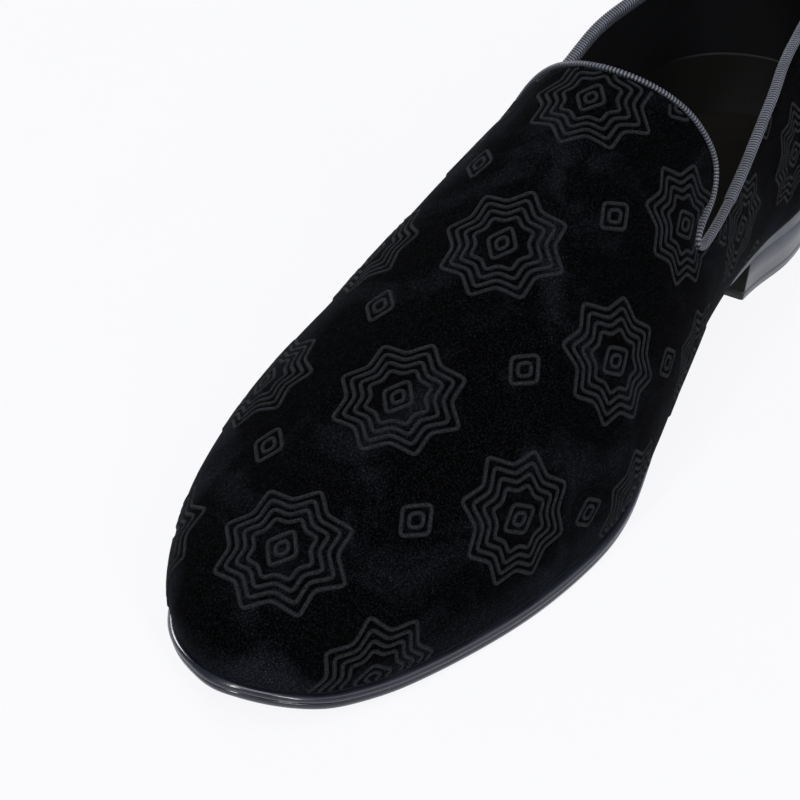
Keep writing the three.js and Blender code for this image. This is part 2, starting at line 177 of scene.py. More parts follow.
def feather_height(y):
    """Height of the feather line over the floor, raised at the heel and a little at the toe."""
    at = y / LAST_LENGTH
    return SOLE_THICKNESS + CLEARANCE + HEEL_RISE * heel_share(at) + TOE_SPRING * toe_share(at)


plan_along = np.array(FEATHER_PLAN["along"]) * LAST_LENGTH
inner_rows = np.column_stack([np.array(FEATHER_PLAN["inner"]) * TREAD_WIDTH, plan_along])
outer_rows = np.column_stack([-np.array(FEATHER_PLAN["outer"]) * TREAD_WIDTH, plan_along])[::-1]
plan = [np.zeros(2), *inner_rows, np.array([TOE_POINT * TREAD_WIDTH, LAST_LENGTH]), *outer_rows]
PLAN_STEPS = 120
outline = centripetal([plan[-1], *plan, plan[0], plan[1]], PLAN_STEPS)
toe_index = (len(inner_rows) + 1) * PLAN_STEPS
closed_slope = np.gradient(np.vstack([outline[-2:-1], outline, outline[1:2]]), axis=0)[1:-1]
facing = np.column_stack([closed_slope[:, 1], -closed_slope[:, 0]])
facing /= np.linalg.norm(facing, axis=1, keepdims=True)
feather_side = {
    True: (outline[: toe_index + 1], facing[: toe_index + 1]),
    False: (outline[toe_index:][::-1], facing[toe_index:][::-1]),
}


def beside_feather(y, inner, distance=0):
    """Point of the feather line at y on one side, moved outward in plan, with the direction out."""
    line, out = feather_side[inner]
    steady = np.maximum.accumulate(line[:, 1])
    x = np.interp(y, steady, line[:, 0])
    outward = Vector((np.interp(y, steady, out[:, 0]), np.interp(y, steady, out[:, 1]), 0)).normalized()
    return Vector((x, y, 0)) + outward * distance, outward


print("feather line:", len(outline), "points, from", outline[0].round(1), "to", outline[toe_index].round(1))

# %% [markdown]
# From the feather line a rib climbs the wall on each side and meets its partner at the crest over the
# instep. A rib is one Bezier curve with a foot, a pull on the wall, a pull on the crown and a top, so
# four numbers bend a whole section. Near the toe and heel the ribs fan out from a shorter crest.

# %% Ribs of the last
CREST_BACK = 0.12
CREST_FRONT = 0.9
FAN_FRONT = 0.72 * LAST_LENGTH
FAN_BACK = 0.3 * LAST_LENGTH
FAN_END_SLOPE = 0.3
SIDE_BLEND = 0.14 * TREAD_WIDTH
crest_height = follow(CREST, "height")
crest_shift = follow(CREST, "shift")
walls = {name: follow(WALLS, name) for name in WALLS if name != "along"}


def crest_point(y):
    """The point of the crest over a place along the shoe."""
    at = y / LAST_LENGTH
    return Vector((crest_shift(at) * TREAD_WIDTH, y, feather_height(y) + CREST_HEIGHT * crest_height(at)))


def fan(t, start_slope):
    """How far along the crest a rib has fanned, from zero to one, with a smooth start and end."""
    return start_slope * (t**3 - 2 * t**2 + t) + 3 * t**2 - 2 * t**3 + FAN_END_SLOPE * (t**3 - t**2)


def crest_place(y):
    """Where along the crest the rib from the feather line at y ends."""
    if y > FAN_FRONT:
        reach = LAST_LENGTH - FAN_FRONT
        run = CREST_FRONT * LAST_LENGTH - FAN_FRONT
        return FAN_FRONT + run * fan((y - FAN_FRONT) / reach, reach / run)
    if y < FAN_BACK:
        run = FAN_BACK - CREST_BACK * LAST_LENGTH
        return FAN_BACK - run * fan((FAN_BACK - y) / FAN_BACK, FAN_BACK / run)
    return y


# %% One rib from the feather line to the crest
def rib(y, inner, cuts):
    """Points of one rib, from the feather line up to the crest."""
    foot, outward = beside_feather(y, inner)
    at = y / LAST_LENGTH
    innerness = min(max(0.5 + foot.x / (2 * SIDE_BLEND), 0), 1)
    pull, low, crown = (
        walls[name + "_outer"](at) * (1 - innerness) + walls[name + "_inner"](at) * innerness
        for name in ("pull", "low", "crown")
    )
    foot.z = feather_height(y)
    top = crest_point(crest_place(y))
    slope = (crest_point(top.y + 1).z - crest_point(top.y - 1).z) / 2
    wall_pull = foot + outward * (pull * WALL_SPREAD)
    wall_pull.z += low * (top.z - foot.z)
    crown_pull = top.lerp(Vector((foot.x, foot.y, top.z)), crown)
    crown_pull.z += slope * (crown_pull.y - top.y)
    return interpolate_bezier(foot, wall_pull, crown_pull, top, cuts + 1)


# %% [markdown]
# Two helpers make every large surface. One adds a plain grid and moves each of its vertices to its
# place, like cloth laid over the last. The other turns a bmesh, whose doubles are merged by then, into an
# object: normals are turned outward, and the millimetres become metres on the frame's origin.

# %% Helpers for meshes
MERGE_MM = 0.001


def laid_grid(bm, columns, rows, place):
    """Adds a grid to bm, with its vertex of column i and row j at place(i, j), and gives (vertex, i, j)."""
    laid = []
    for vert in bmesh.ops.create_grid(bm, x_segments=columns, y_segments=rows, size=1)["verts"]:
        i = round((vert.co.x + 1) / 2 * columns)
        j = round((vert.co.y + 1) / 2 * rows)
        vert.co = place(i, j)
        laid.append((vert, i, j))
    return laid


def finished(bm, name, *materials, outward=True):
    """The object made of a bmesh in the last's millimetres."""
    if outward:
        bmesh.ops.recalc_face_normals(bm, faces=bm.faces)
    bmesh.ops.translate(bm, verts=bm.verts, vec=(0, -HEEL_LENGTH / 2, 0))
    bmesh.ops.scale(bm, verts=bm.verts, vec=(MM, MM, MM))
    mesh = bpy.data.meshes.new(name)
    bm.to_mesh(mesh)
    bm.free()
    mesh.shade_smooth()
    piece = bpy.data.objects.new(name, mesh)
    bpy.context.scene.collection.objects.link(piece)
    for material in materials:
        mesh.materials.append(material)
    print(f"{name}: {len(mesh.vertices)} vertices, {len(mesh.polygons)} faces")
    return piece


# %% The last as one closed surface
STATIONS = 250
RIB_CUTS = 60


def evenly_to_the_ends(k, count, length):
    """Places that lie closer together toward both ends of a length."""
    return length * (1 - math.cos(math.pi * k / count)) / 2


rib_pairs = []
for k in range(STATIONS + 1):
    y = evenly_to_the_ends(k, STATIONS, LAST_LENGTH)
    inner_rib = rib(y, True, RIB_CUTS)
    outer_rib = inner_rib if k in (0, STATIONS) else rib(y, False, RIB_CUTS)
    rib_pairs.append(inner_rib + outer_rib[-2::-1])


def new_last():
    """A bmesh of the last's surface, open underneath."""
    bm = bmesh.new()
    laid_grid(bm, STATIONS, 2 * RIB_CUTS, lambda i, j: rib_pairs[i][j])
    bmesh.ops.remove_doubles(bm, verts=bm.verts, dist=MERGE_MM)
    bmesh.ops.recalc_face_normals(bm, faces=bm.faces)
    if sum(face.normal.z for face in bm.faces) < 0:
        bmesh.ops.reverse_faces(bm, faces=bm.faces)
    return bm


last_surface = new_last()
last_tree = BVHTree.FromBMesh(last_surface)
last_surface.free()

ON_LAST_MM = 0.1
to_last = Vector((0, HEEL_LENGTH / 2, 0))
corners = [vert.co / MM + to_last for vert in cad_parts["upper"].data.vertices]
apart = np.array([last_tree.find_nearest(corner)[3] for corner in corners])
print("share of the frame's corners that lie on the last's surface:", round(np.mean(apart < ON_LAST_MM), 2))

# %% [markdown]
# The mouth is cut as a shoemaker sees it, from the side: a line runs along the quarter's topline, turns
# in the notch and climbs round the tongue. The line leans and slides a little across the shoe, because
# the outer side is lower under the ankle bone. One function gives how far any point is over that line. A
# boolean could cut there too, but splitting the edges that cross it leaves a rim of clean, ordered points.

# %% The mouth line from the side
LINE_STEPS = 10


def side_line(table, rise):
    """A table's points in the side view, with heights counted from the feather line."""
    y = np.array(table["along"]) * LAST_LENGTH
    return np.column_stack([y, feather_height(y) + np.array(table["height"]) * rise])


mouth_marks = [*side_line(TOPLINE, COLLAR_HEIGHT), *side_line(TONGUE_EDGE, TONGUE_RISE)]
mouth_marks = [2 * mouth_marks[0] - mouth_marks[1], *mouth_marks, 2 * mouth_marks[-1] - mouth_marks[-2]]
mouth_line = centripetal(mouth_marks, LINE_STEPS)


def over_mouth(points):
    """Signed distance of points from the mouth line in the side view, above zero in the open mouth."""
    points = np.asarray(points, float).reshape(-1, 3)
    seen = np.column_stack([points[:, 1] - COLLAR_SKEW * points[:, 0], points[:, 2] - COLLAR_LEAN * points[:, 0]])
    best = np.full(len(seen), np.inf)
    sign = np.zeros(len(seen))
    for a, b in zip(mouth_line, mouth_line[1:]):
        run = b - a
        from_a = seen - a
        share = np.clip(from_a @ run / (run @ run), 0, 1)
        apart = np.linalg.norm(from_a - share[:, None] * run, axis=1)
        side = run[0] * from_a[:, 1] - run[1] * from_a[:, 0]
        nearer = apart < best
        best[nearer] = apart[nearer]
        sign[nearer] = np.sign(side[nearer])
    return best * sign


# %% Cutting a mesh at the mouth
def cut_at_mouth(bm, level):
    """Cuts bm where it is level over the mouth line, deletes what is above and returns the new rim."""
    height = bm.verts.layers.float.get("over_mouth") or bm.verts.layers.float.new("over_mouth")
    for vert, over in zip(bm.verts, over_mouth([vert.co for vert in bm.verts]) - level):
        vert[height] = over
    crossed = [edge for edge in bm.edges if edge.verts[0][height] * edge.verts[1][height] < 0]
    rim = []
    for edge in crossed:
        low, high = edge.verts
        share = low[height] / (low[height] - high[height])
        rim.append(bmesh.utils.edge_split(edge, low, share)[1])
        rim[-1][height] = 0
    bmesh.ops.connect_verts(bm, verts=rim)
    above = [face for face in bm.faces if any(vert[height] > 0 for vert in face.verts)]
    bmesh.ops.delete(bm, geom=above, context="FACES")
    return [vert for vert in rim if vert.is_valid]


def rim_loop(rim):
    """Places of the rim's vertices in order round the mouth."""
    members = set(rim)
    loop = [rim[0]]
    seen = {rim[0]}
    while True:
        ahead = [
            other
            for edge in loop[-1].link_edges
            if edge.is_boundary
            for other in [edge.other_vert(loop[-1])]
            if other in members and other not in seen
        ]
        if not ahead:
            return np.array([vert.co for vert in loop])
        loop.append(ahead[0])
        seen.add(ahead[0])


velvet_form = new_last()
mouth_rim = rim_loop(cut_at_mouth(velvet_form, 0))
print("mouth:", len(mouth_rim), "rim points, spans", (mouth_rim.max(0) - mouth_rim.min(0)).round(1), "mm")

# %% [markdown]
# The ribbon round the mouth is grosgrain, woven with ribs across its width. Its path is the rim, walked
# in even steps, six to a rib. A curve with a bevel could follow it too, but would twist in the notches,
# so three directions are kept at each step: along the rim, out of the velvet, and down into the upper.
# The lip that shows outside is a little wider on the quarters than on the tongue.

# %% Even steps round the rim, with their directions
RIB_PITCH = 0.95
STEPS_TO_A_RIB = 6
RIM_SMOOTHING = 2.5
LIP_ON_QUARTER = 1.35
LIP_ON_TONGUE = 1.2
LIP_BLEND = 8
TONGUE_BEYOND = ((0.85, 0.3), (0.768, 0.42))
JOINT_ALONG = 0.392


def round_the_loop(values, window):
    """Running mean over a closed loop, twice, which takes the grid's small steps out of it."""
    half = max(window // 2, 1)
    for _ in range(2):
        wrapped = np.concatenate([values[-half:], values, values[:half]])
        sums = np.cumsum(np.vstack([np.zeros(values.shape[1]), wrapped]), axis=0)
        values = (sums[2 * half + 1 :] - sums[: -2 * half - 1]) / (2 * half + 1)
    return values


closed_rim = np.vstack([mouth_rim, mouth_rim[:1]])
run_lengths = np.concatenate([[0], np.cumsum(np.linalg.norm(np.diff(closed_rim, axis=0), axis=1))])
ring_count = round(run_lengths[-1] / RIB_PITCH) * STEPS_TO_A_RIB
step_length = run_lengths[-1] / ring_count
marks = np.arange(ring_count) * step_length
rim_path = np.column_stack([np.interp(marks, run_lengths, closed_rim[:, axis]) for axis in range(3)])
rim_path = round_the_loop(rim_path, round(RIM_SMOOTHING / step_length))
rim_out = np.array([last_tree.find_nearest(Vector(point))[1] for point in rim_path])
rim_out = round_the_loop(rim_out, round(2 * RIM_SMOOTHING / step_length))
rim_out /= np.linalg.norm(rim_out, axis=1, keepdims=True)
rim_along = np.roll(rim_path, -1, axis=0) - np.roll(rim_path, 1, axis=0)
rim_along /= np.linalg.norm(rim_along, axis=1, keepdims=True)
rim_down = np.cross(rim_along, rim_out)
if over_mouth(rim_path + rim_down).mean() > over_mouth(rim_path - rim_down).mean():
    rim_down = -rim_down
print("ribbon:", ring_count // STEPS_TO_A_RIB, "ribs on", round(run_lengths[-1]), "mm")


# %% Which steps lie on the tongue
def smooth_step(value, low, high):
    """Zero below low, one above high and a soft rise between them."""
    t = np.clip((value - low) / (high - low), 0, 1)
    return t * t * (3 - 2 * t)


rim_height = (rim_path[:, 2] - feather_height(rim_path[:, 1])) / COLLAR_HEIGHT
seen_along = (rim_path[:, 1] - COLLAR_SKEW * rim_path[:, 0]) / LAST_LENGTH
on_tongue = np.any([(rim_height > up) & (seen_along > ahead) for up, ahead in TONGUE_BEYOND], axis=0)
tongue_share = round_the_loop(on_tongue[:, None].astype(float), round(LIP_BLEND / step_length))[:, 0]
quarter_ribbon = (seen_along < JOINT_ALONG) & ~on_tongue
lip = LIP_ON_QUARTER + (LIP_ON_TONGUE - LIP_ON_QUARTER) * tongue_share
rim_tree = KDTree(ring_count)
for index, point in enumerate(rim_path):
    rim_tree.insert(point, index)
rim_tree.balance()

# %% [markdown]
# Lasted velvet is pulled tight, yet it is never as even as the last. A few soft troughs and ridges are
# placed one by one: where the foot bends across the ball, below the notch, and over the hidden edges of
# the heel's counter and the toe puff. They could be pushed in with a sculpting brush. Here each is a
# stroke from one place to another, wide and shallow, so that it stays with the last when sizes change.

# %% Soft troughs and ridges
CREASES = [
    {"inner": False, "start": (0.47, 0.62), "end": (0.43, 0.22), "width": 5, "depth": 0.4},
    {"inner": True, "start": (0.47, 0.62), "end": (0.44, 0.25), "width": 5, "depth": 0.4},
    {"inner": False, "start": (0.67, 0.3), "end": (0.62, 0.8), "width": 6, "depth": 0.35},
    {"inner": True, "start": (0.69, 0.32), "end": (0.64, 0.8), "width": 6, "depth": 0.35},
    {"inner": False, "start": (0.72, 0.42), "end": (0.69, 0.75), "width": 5, "depth": -0.22},
    {"inner": True, "start": (0.05, 0.5), "end": (0.3, 0.2), "width": 4.5, "depth": -0.25},
    {"inner": False, "start": (0.05, 0.5), "end": (0.3, 0.2), "width": 4.5, "depth": -0.25},
    {"inner": False, "start": (0.87, 0.3), "end": (0.83, 0.85), "width": 5, "depth": -0.25},
    {"inner": True, "start": (0.87, 0.3), "end": (0.83, 0.85), "width": 5, "depth": -0.25},
]
CREASE_STEPS = 12
STROKE_MARKS = 100
STROKE_ENDS = 0.15


def place_on_last(along, up, inner):
    """The point a share of the length along and a share of the rib up."""
    return rib(along * LAST_LENGTH, inner, STROKE_MARKS)[round(STROKE_MARKS * up)]


def crease_depths(points):
    """How far each point sinks into the troughs, or rises on the ridges when below zero."""
    depths = np.zeros(len(points))
    for crease in CREASES:
        (from_along, from_up), (to_along, to_up) = crease["start"], crease["end"]
        nearest = np.full(len(points), np.inf)
        strength = np.zeros(len(points))
        for t in np.linspace(0, 1, CREASE_STEPS):
            along = from_along + (to_along - from_along) * t
            up = from_up + (to_up - from_up) * t
            mark = np.array(place_on_last(along, up, crease["inner"]))
            apart = np.linalg.norm(points - mark, axis=1)
            closer = apart < nearest
            nearest[closer] = apart[closer]
            strength[closer] = math.sin(math.pi * (STROKE_ENDS + (1 - 2 * STROKE_ENDS) * t))
        depths += crease["depth"] * strength * np.exp(-((nearest / crease["width"]) ** 2))
    return depths


# %% [markdown]
# The velvet is one shell. Its mouth edge is cut a little below the rim, so that it ends inside the
# ribbon's fold, and is pressed down beside the ribbon's stitching. Its lower edge is turned in under
# the foot, as a lasted upper is. A cloth simulation could pull it over the last, but lasted velvet lies
# so close that the last's own surface, sunk by the troughs above, is the shorter way to the same shape.

# %% The velvet shell
TUCK = 0.9
PRESSED = 0.45
PRESS_FROM = 0.2
PRESS_REACH = 1.6

cut_at_mouth(velvet_form, -TUCK)
places = np.array([vert.co for vert in velvet_form.verts])
sunk = crease_depths(places)
velvet_form.normal_update()
for vert, sink in zip(velvet_form.verts, sunk):
    _, nearest, apart = rim_tree.find(vert.co)
    press = PRESSED * (1 - smooth_step(apart - lip[nearest], PRESS_FROM, PRESS_REACH))
    vert.co -= vert.normal * (sink + press)
print("velvet:", len(velvet_form.faces), "faces, deepest trough", round(sunk.max(), 2), "mm")

# %% [markdown]
# A seam joins vamp and quarter on each side below the ribbon's joint, and one runs down the back. A
# painted sheen makes the velvet paler just over the sole and on the inner wall, where light skims the
# pile. Both are kept as numbers on the vertices, and the material reads them. They could be painted as
# maps, but a number on a vertex needs no image and no unwrapping.

# %% Seams and painted sheen, kept on the vertices
SEAM_ALONG = 0.396
SEAM_SLANT = 0.06
SEAM_TOP = 58
SHEEN_REACH = 15
INNER_WALL_TURN = 0.4
INNER_SHEEN_GAIN = 1.6


def seam_place(z):
    """Where the side seam lies along the shoe at a height."""
    return SEAM_ALONG * LAST_LENGTH + SEAM_SLANT * (SEAM_TOP - z)


seam_mm = velvet_form.verts.layers.float.new("seam_mm")
painted_sheen = velvet_form.verts.layers.float.new("painted_sheen")
for vert in velvet_form.verts:
    side_seam = abs(vert.co.y - seam_place(vert.co.z))
    back_seam = abs(vert.co.x) if vert.co.y < LAST_LENGTH / 4 else side_seam
    vert[seam_mm] = min(side_seam, back_seam)
    # Painted sheen: low over the sole and on the inner wall the velvet's colour is made paler, where light skims
    # the pile.
    low_sheen = 1 - smooth_step(vert.co.z - feather_height(vert.co.y), 0, SHEEN_REACH)
    inner_wall_sheen = INNER_SHEEN_GAIN * smooth_step(vert.normal.x, INNER_WALL_TURN, 1)
    vert[painted_sheen] = max(low_sheen, inner_wall_sheen)

# %% The edge turned in under the foot
LOWER_EDGE_UNDER = 30
low_rim = [edge for edge in velvet_form.edges if edge.is_boundary]
low_rim = [edge for edge in low_rim if max(vert.co.z for vert in edge.verts) < LOWER_EDGE_UNDER]
for vert in bmesh.ops.extrude_edge_only(velvet_form, edges=low_rim)["geom"]:
    if isinstance(vert, bmesh.types.BMVert):
        middle = crest_shift(vert.co.y / LAST_LENGTH) * TREAD_WIDTH
        _, outward = beside_feather(vert.co.y, vert.co.x > middle)
        vert.co -= outward * (UPPER_WALL + LASTING_MARGIN)
        vert.co.z = feather_height(vert.co.y)
print("turned in:", len(low_rim), "edges, by", UPPER_WALL + LASTING_MARGIN, "mm")

# %% [markdown]
# Colours are written as the hex values that a picture editor shows, and one function turns them to
# linear light. Another adds a node with its settings and links. A pattern's scale is always worked out
# from a real size, because Object coordinates count in metres here.

# %% Colours, scales and new materials
def linear(hex_colour):
    """An sRGB hex value as linear red, green, blue and an alpha of one."""
    parts = [int(hex_colour[i : i + 2], 16) / 255 for i in (1, 3, 5)]
    return [part / 12.92 if part <= 0.04045 else ((part + 0.055) / 1.055) ** 2.4 for part in parts] + [1]


def repeats(size_mm):
    """Texture scale for a pattern whose repeat is size_mm."""
    return 1 / (size_mm * MM)


def new_material(name, colour, roughness, **settings):
    """A material with its Principled shader's own sockets set."""
    material = bpy.data.materials.new(name)
    material.use_nodes = True
    shader = material.node_tree.nodes["Principled BSDF"]
    shader.inputs["Base Color"].default_value = linear(colour)
    shader.inputs["Roughness"].default_value = roughness
    for socket, value in settings.items():
        shader.inputs[socket.replace("_", " ")].default_value = value
    return material, shader


# %% Nodes and their links
def add_node(owner, kind, settings=None, **links):
    """Adds a node to a material or world. Settings are its properties or its inputs' values, by name or
    number. Links name input sockets, or number them as _0, and give each its source. A Mix of colours
    has them in sockets 6 and 7 and gives its result from output 2."""
    node = owner.node_tree.nodes.new("ShaderNode" + kind)
    for key, value in (settings or {}).items():
        if isinstance(key, int) or key in node.inputs:
            node.inputs[key].default_value = value
        else:
            setattr(node, key, value)
    for key, source in links.items():
        place = int(key[1:]) if key[1:].isdigit() else key.replace("_", " ")
        owner.node_tree.links.new(source, node.inputs[place])
    return node


def connect(owner, source, node, socket):
    """Links a source to a node that is there already."""
    owner.node_tree.links.new(source, node.inputs[socket])


def two_tones(dark, light):
    """Settings of a Mix node whose colour runs from dark to light."""
    return {"data_type": "RGBA", 6: linear(dark), 7: linear(light)}


def lay_finish(material, shader, pattern, tones, relief, depth_mm):
    """Lets one pattern set both the tone and the relief of a plain finish."""
    colour = add_node(material, "Mix", two_tones(*tones), _0=pattern)
    connect(material, colour.outputs[2], shader, "Base Color")
    bump = add_node(material, "Bump", {"Strength": relief, "Distance": depth_mm * MM}, Height=pattern)
    connect(material, bump.outputs["Normal"], shader, "Normal")


# %% [markdown]
# Cotton velvet is a short dense pile. It swallows light from in front and gives a thin sheen where the
# eye skims it, and strokes of the hand leave slightly paler, bluish patches. Hair could be grown for the
# pile, but at this distance it would only give the same black with far more work. A sheen lobe does the
# first, slow noise the patches, and fine noise in colour and relief the ends of the pile. The patches'
# paler tone is also laid as a painted sheen over the sole and on the inner wall.

# %% Black velvet
# It gives the eye depth without a highlight: its form shows only at the edges and in the painted sheen.
velvet, velvet_shader = new_material(
    "black cotton velvet", "#060708", 0.95,
    Sheen_Weight=0.035, Sheen_Roughness=0.22, Sheen_Tint=linear("#b9c1d4"), Specular_IOR_Level=0.01,
)
SPECKLE_MM = 0.3  # tufts are about 0.1 mm apart, which is too fine to show, so they are drawn coarser
BRUSH_MM = 26
PAINTED_SHEEN_PULL = 0.22
where = add_node(velvet, "TexCoord").outputs["Object"]
speckle = add_node(velvet, "TexNoise", {"Scale": repeats(SPECKLE_MM), "Detail": 2, "Roughness": 0.8}, Vector=where)
tufts = add_node(velvet, "MapRange", {"From Min": 0.53, "From Max": 0.7}, Value=speckle.outputs["Fac"])
pile_colour = add_node(velvet, "Mix", two_tones("#000000", "#151619"), _0=tufts.outputs["Result"])
# The paler tone serves both the brushed patches and the painted sheen.
brushed_and_sheen_colour = add_node(velvet, "Mix", two_tones("#090a0d", "#2d3038"), _0=tufts.outputs["Result"])
strokes = {"Scale": repeats(BRUSH_MM), "Detail": 5, "Roughness": 0.62, "Distortion": 0.8}
brushed = add_node(velvet, "TexNoise", strokes, Vector=where)
# Painted sheen: the vertex number lifts the colour toward the paler tone over the sole and on the inner wall.
sheen_attribute = add_node(velvet, "Attribute", {"attribute_name": "painted_sheen"})
brush_and_painted_sheen = add_node(
    velvet, "Math", {"operation": "MULTIPLY_ADD", 1: PAINTED_SHEEN_PULL}, _0=sheen_attribute.outputs["Fac"], _2=brushed.outputs["Fac"],
)
brush_and_sheen_share = add_node(velvet, "MapRange", {"From Min": 0.5, "From Max": 0.82}, Value=brush_and_painted_sheen.outputs[0])
velvet_colour = add_node(
    velvet, "Mix", {"data_type": "RGBA"},
    _0=brush_and_sheen_share.outputs["Result"], _6=pile_colour.outputs[2], _7=brushed_and_sheen_colour.outputs[2],
)
connect(velvet, velvet_colour.outputs[2], velvet_shader, "Base Color")

# %% [markdown]
# A seam in velvet is a narrow trough that the pile leans into. It could be cut into the mesh, but the
# grid would have to follow it, so the distance kept on each vertex draws it as relief. The pile's own
# relief is laid over it.

# %% Seams and pile as relief
SEAM_WIDTH_MM = 0.7
SEAM_DEPTH_MM = 0.5
PILE_END_MM = 0.21
PILE_DEPTH_MM = 0.12
seam_distance = add_node(velvet, "Attribute", {"attribute_name": "seam_mm"})
seam_side = {"interpolation_type": "SMOOTHSTEP", "From Min": 0, "From Max": SEAM_WIDTH_MM}
seam_rise = add_node(velvet, "MapRange", seam_side, Value=seam_distance.outputs["Fac"])
seam_relief = {"Strength": 0.9, "Distance": SEAM_DEPTH_MM * MM}
seam_bump = add_node(velvet, "Bump", seam_relief, Height=seam_rise.outputs["Result"])
pile_ends = add_node(velvet, "TexVoronoi", {"Scale": repeats(PILE_END_MM)}, Vector=where)
pile_bump = add_node(
    velvet, "Bump", {"Strength": 0.35, "Distance": PILE_DEPTH_MM * MM},
    Height=pile_ends.outputs["Distance"], Normal=seam_bump.outputs["Normal"],
)
connect(velvet, pile_bump.outputs["Normal"], velvet_shader, "Normal")
print("velvet: tufts of", SPECKLE_MM, "mm, seams", SEAM_WIDTH_MM, "mm to a side")

# %% [markdown]
# Inside, the quarters are lined with calf, and a heel cup of the same leather stands up from the sock,
# its thin cut edge in a little light. The cup could be a shell of its own, but skived leather stands up
# by less than the picture shows. So it is a change of tone at its height, with a painted highlight line for its
# edge.

# %% Calf lining with its heel cup
# It gives the eye a soft wide highlight on a fine grain, nearly black down in the shoe.
lining, lining_shader = new_material("calf lining leather", "#0a0a0a", 0.55, Specular_IOR_Level=0.25)
GRAIN_MM = 1.1  # calf's grain is about 0.4 mm, which is too fine to show, so it is drawn coarser
HANDLED_MM = 25
CUP_HEIGHT = 44
CUP_EDGE = 0.5
CUP_HIGHLIGHT_WIDTH = 0.35
CUP_HIGHLIGHT_SHARE = 0.5
CUP_HIGHLIGHT_RUN = (19.5, 5.5)
highlight_start, highlight_full = ((y - HEEL_LENGTH / 2) * MM for y in CUP_HIGHLIGHT_RUN)
where = add_node(lining, "TexCoord").outputs["Object"]
axes = add_node(lining, "SeparateXYZ", Vector=where)
handled = add_node(lining, "TexNoise", {"Scale": repeats(HANDLED_MM), "Detail": 3}, Vector=where)
cup_colour = add_node(lining, "Mix", two_tones("#080706", "#11100f"), _0=handled.outputs["Fac"])
quarter_colour = add_node(lining, "Mix", two_tones("#040406", "#090a0c"), _0=handled.outputs["Fac"])
cup_edge = {"From Min": (CUP_HEIGHT - CUP_EDGE) * MM, "From Max": (CUP_HEIGHT + CUP_EDGE) * MM}
over_cup = add_node(lining, "MapRange", cup_edge, Value=axes.outputs["Z"])
leather_colour = add_node(
    lining, "Mix", {"data_type": "RGBA"},
    _0=over_cup.outputs["Result"], _6=cup_colour.outputs[2], _7=quarter_colour.outputs[2],
)

# %% The cup's edge as a painted highlight, and the grain
# Painted highlight: a pale line along the cup's edge, fading out toward the toe.
near_edge = {"operation": "COMPARE", 1: CUP_HEIGHT * MM, 2: CUP_HIGHLIGHT_WIDTH * MM}
from_edge = add_node(lining, "Math", near_edge, _0=axes.outputs["Z"])
highlight_run = {"From Min": highlight_start, "From Max": highlight_full, "To Max": CUP_HIGHLIGHT_SHARE}
highlight_fade = add_node(lining, "MapRange", highlight_run, Value=axes.outputs["Y"])
highlight_share = add_node(
    lining, "Math", {"operation": "MULTIPLY"}, _0=from_edge.outputs[0], _1=highlight_fade.outputs["Result"],
)
lining_colour = add_node(
    lining, "Mix", {"data_type": "RGBA", 7: linear("#3c3d41")},
    _0=highlight_share.outputs[0], _6=leather_colour.outputs[2],
)
connect(lining, lining_colour.outputs[2], lining_shader, "Base Color")
grain_edges = {"feature": "DISTANCE_TO_EDGE", "Scale": repeats(GRAIN_MM)}
grain = add_node(lining, "TexVoronoi", grain_edges, Vector=where)
grain_bump = add_node(lining, "Bump", {"Strength": 0.25, "Distance": 0.08 * MM}, Height=grain.outputs["Distance"])
connect(lining, grain_bump.outputs["Normal"], lining_shader, "Normal")

# %% Velvet and lining as one wall
CLOTH_AND_LINING = 1.6
velvet_tree = BVHTree.FromBMesh(velvet_form)
velvet_upper = finished(velvet_form, "velvet_upper", velvet, lining, outward=False)
wall = velvet_upper.modifiers.new("wall", "SOLIDIFY")
wall.thickness = CLOTH_AND_LINING * MM
wall.offset = -1
wall.material_offset = 1
wall.use_even_offset = False

# %% [markdown]
# The ribbon is one grid swept round the rim: its columns are the even steps and its rows go up the
# lip, over the fold and down inside. Each rib swells the section and the valley between two ribs lets
# it sink. Relief in the material alone would leave its outline smooth, and the ribs show there. Where
# the two lengths of ribbon meet at the joint, the quarter's length lies on the other.

# %% The ribbon's section
# "out" is in millimetres from the velvet, "down" a share of the lip or of the depth inside, and "swell"
# the share of a rib's height that the row takes.
INSIDE_DEPTH = 3.3
RIB_SWELL = 0.24
LAP = 0.24
OVER_THE_FOLD = 0.1
RIBBON_SECTION = [
    {"out": 0.02, "down": 1.0, "swell": 0.2},
    {"out": 0.34, "down": 0.95, "swell": 0.9},
    {"out": 0.46, "down": 0.7, "swell": 1},
    {"out": 0.48, "down": 0.35, "swell": 1},
    {"out": 0.36, "down": 0.05, "swell": 1},
    {"out": 0.08, "down": -0.14, "swell": 1},
    {"out": -0.4, "down": -0.24, "swell": 1},
    {"out": -0.9, "down": -0.25, "swell": 1},
    {"out": -1.4, "down": -0.15, "swell": 1},
    {"out": -1.78, "down": 0.06, "swell": 1},
    {"out": -1.95, "down": 0.4, "swell": 1},
    {"out": -1.95, "down": 0.9, "swell": 1},
    {"out": -1.85, "down": 1.0, "swell": 0.6},
    {"out": -1.3, "down": 0.9, "swell": 0},
    {"out": -0.5, "down": 0.8, "swell": 0},
]
RIBBON_MIDDLE = 0.8


# %% The grosgrain binding
def rib_height(i):
    """How high step i stands in its rib, from zero in the valley to one on top."""
    return 0.5 + 0.5 * math.cos(2 * math.pi * i / STEPS_TO_A_RIB)


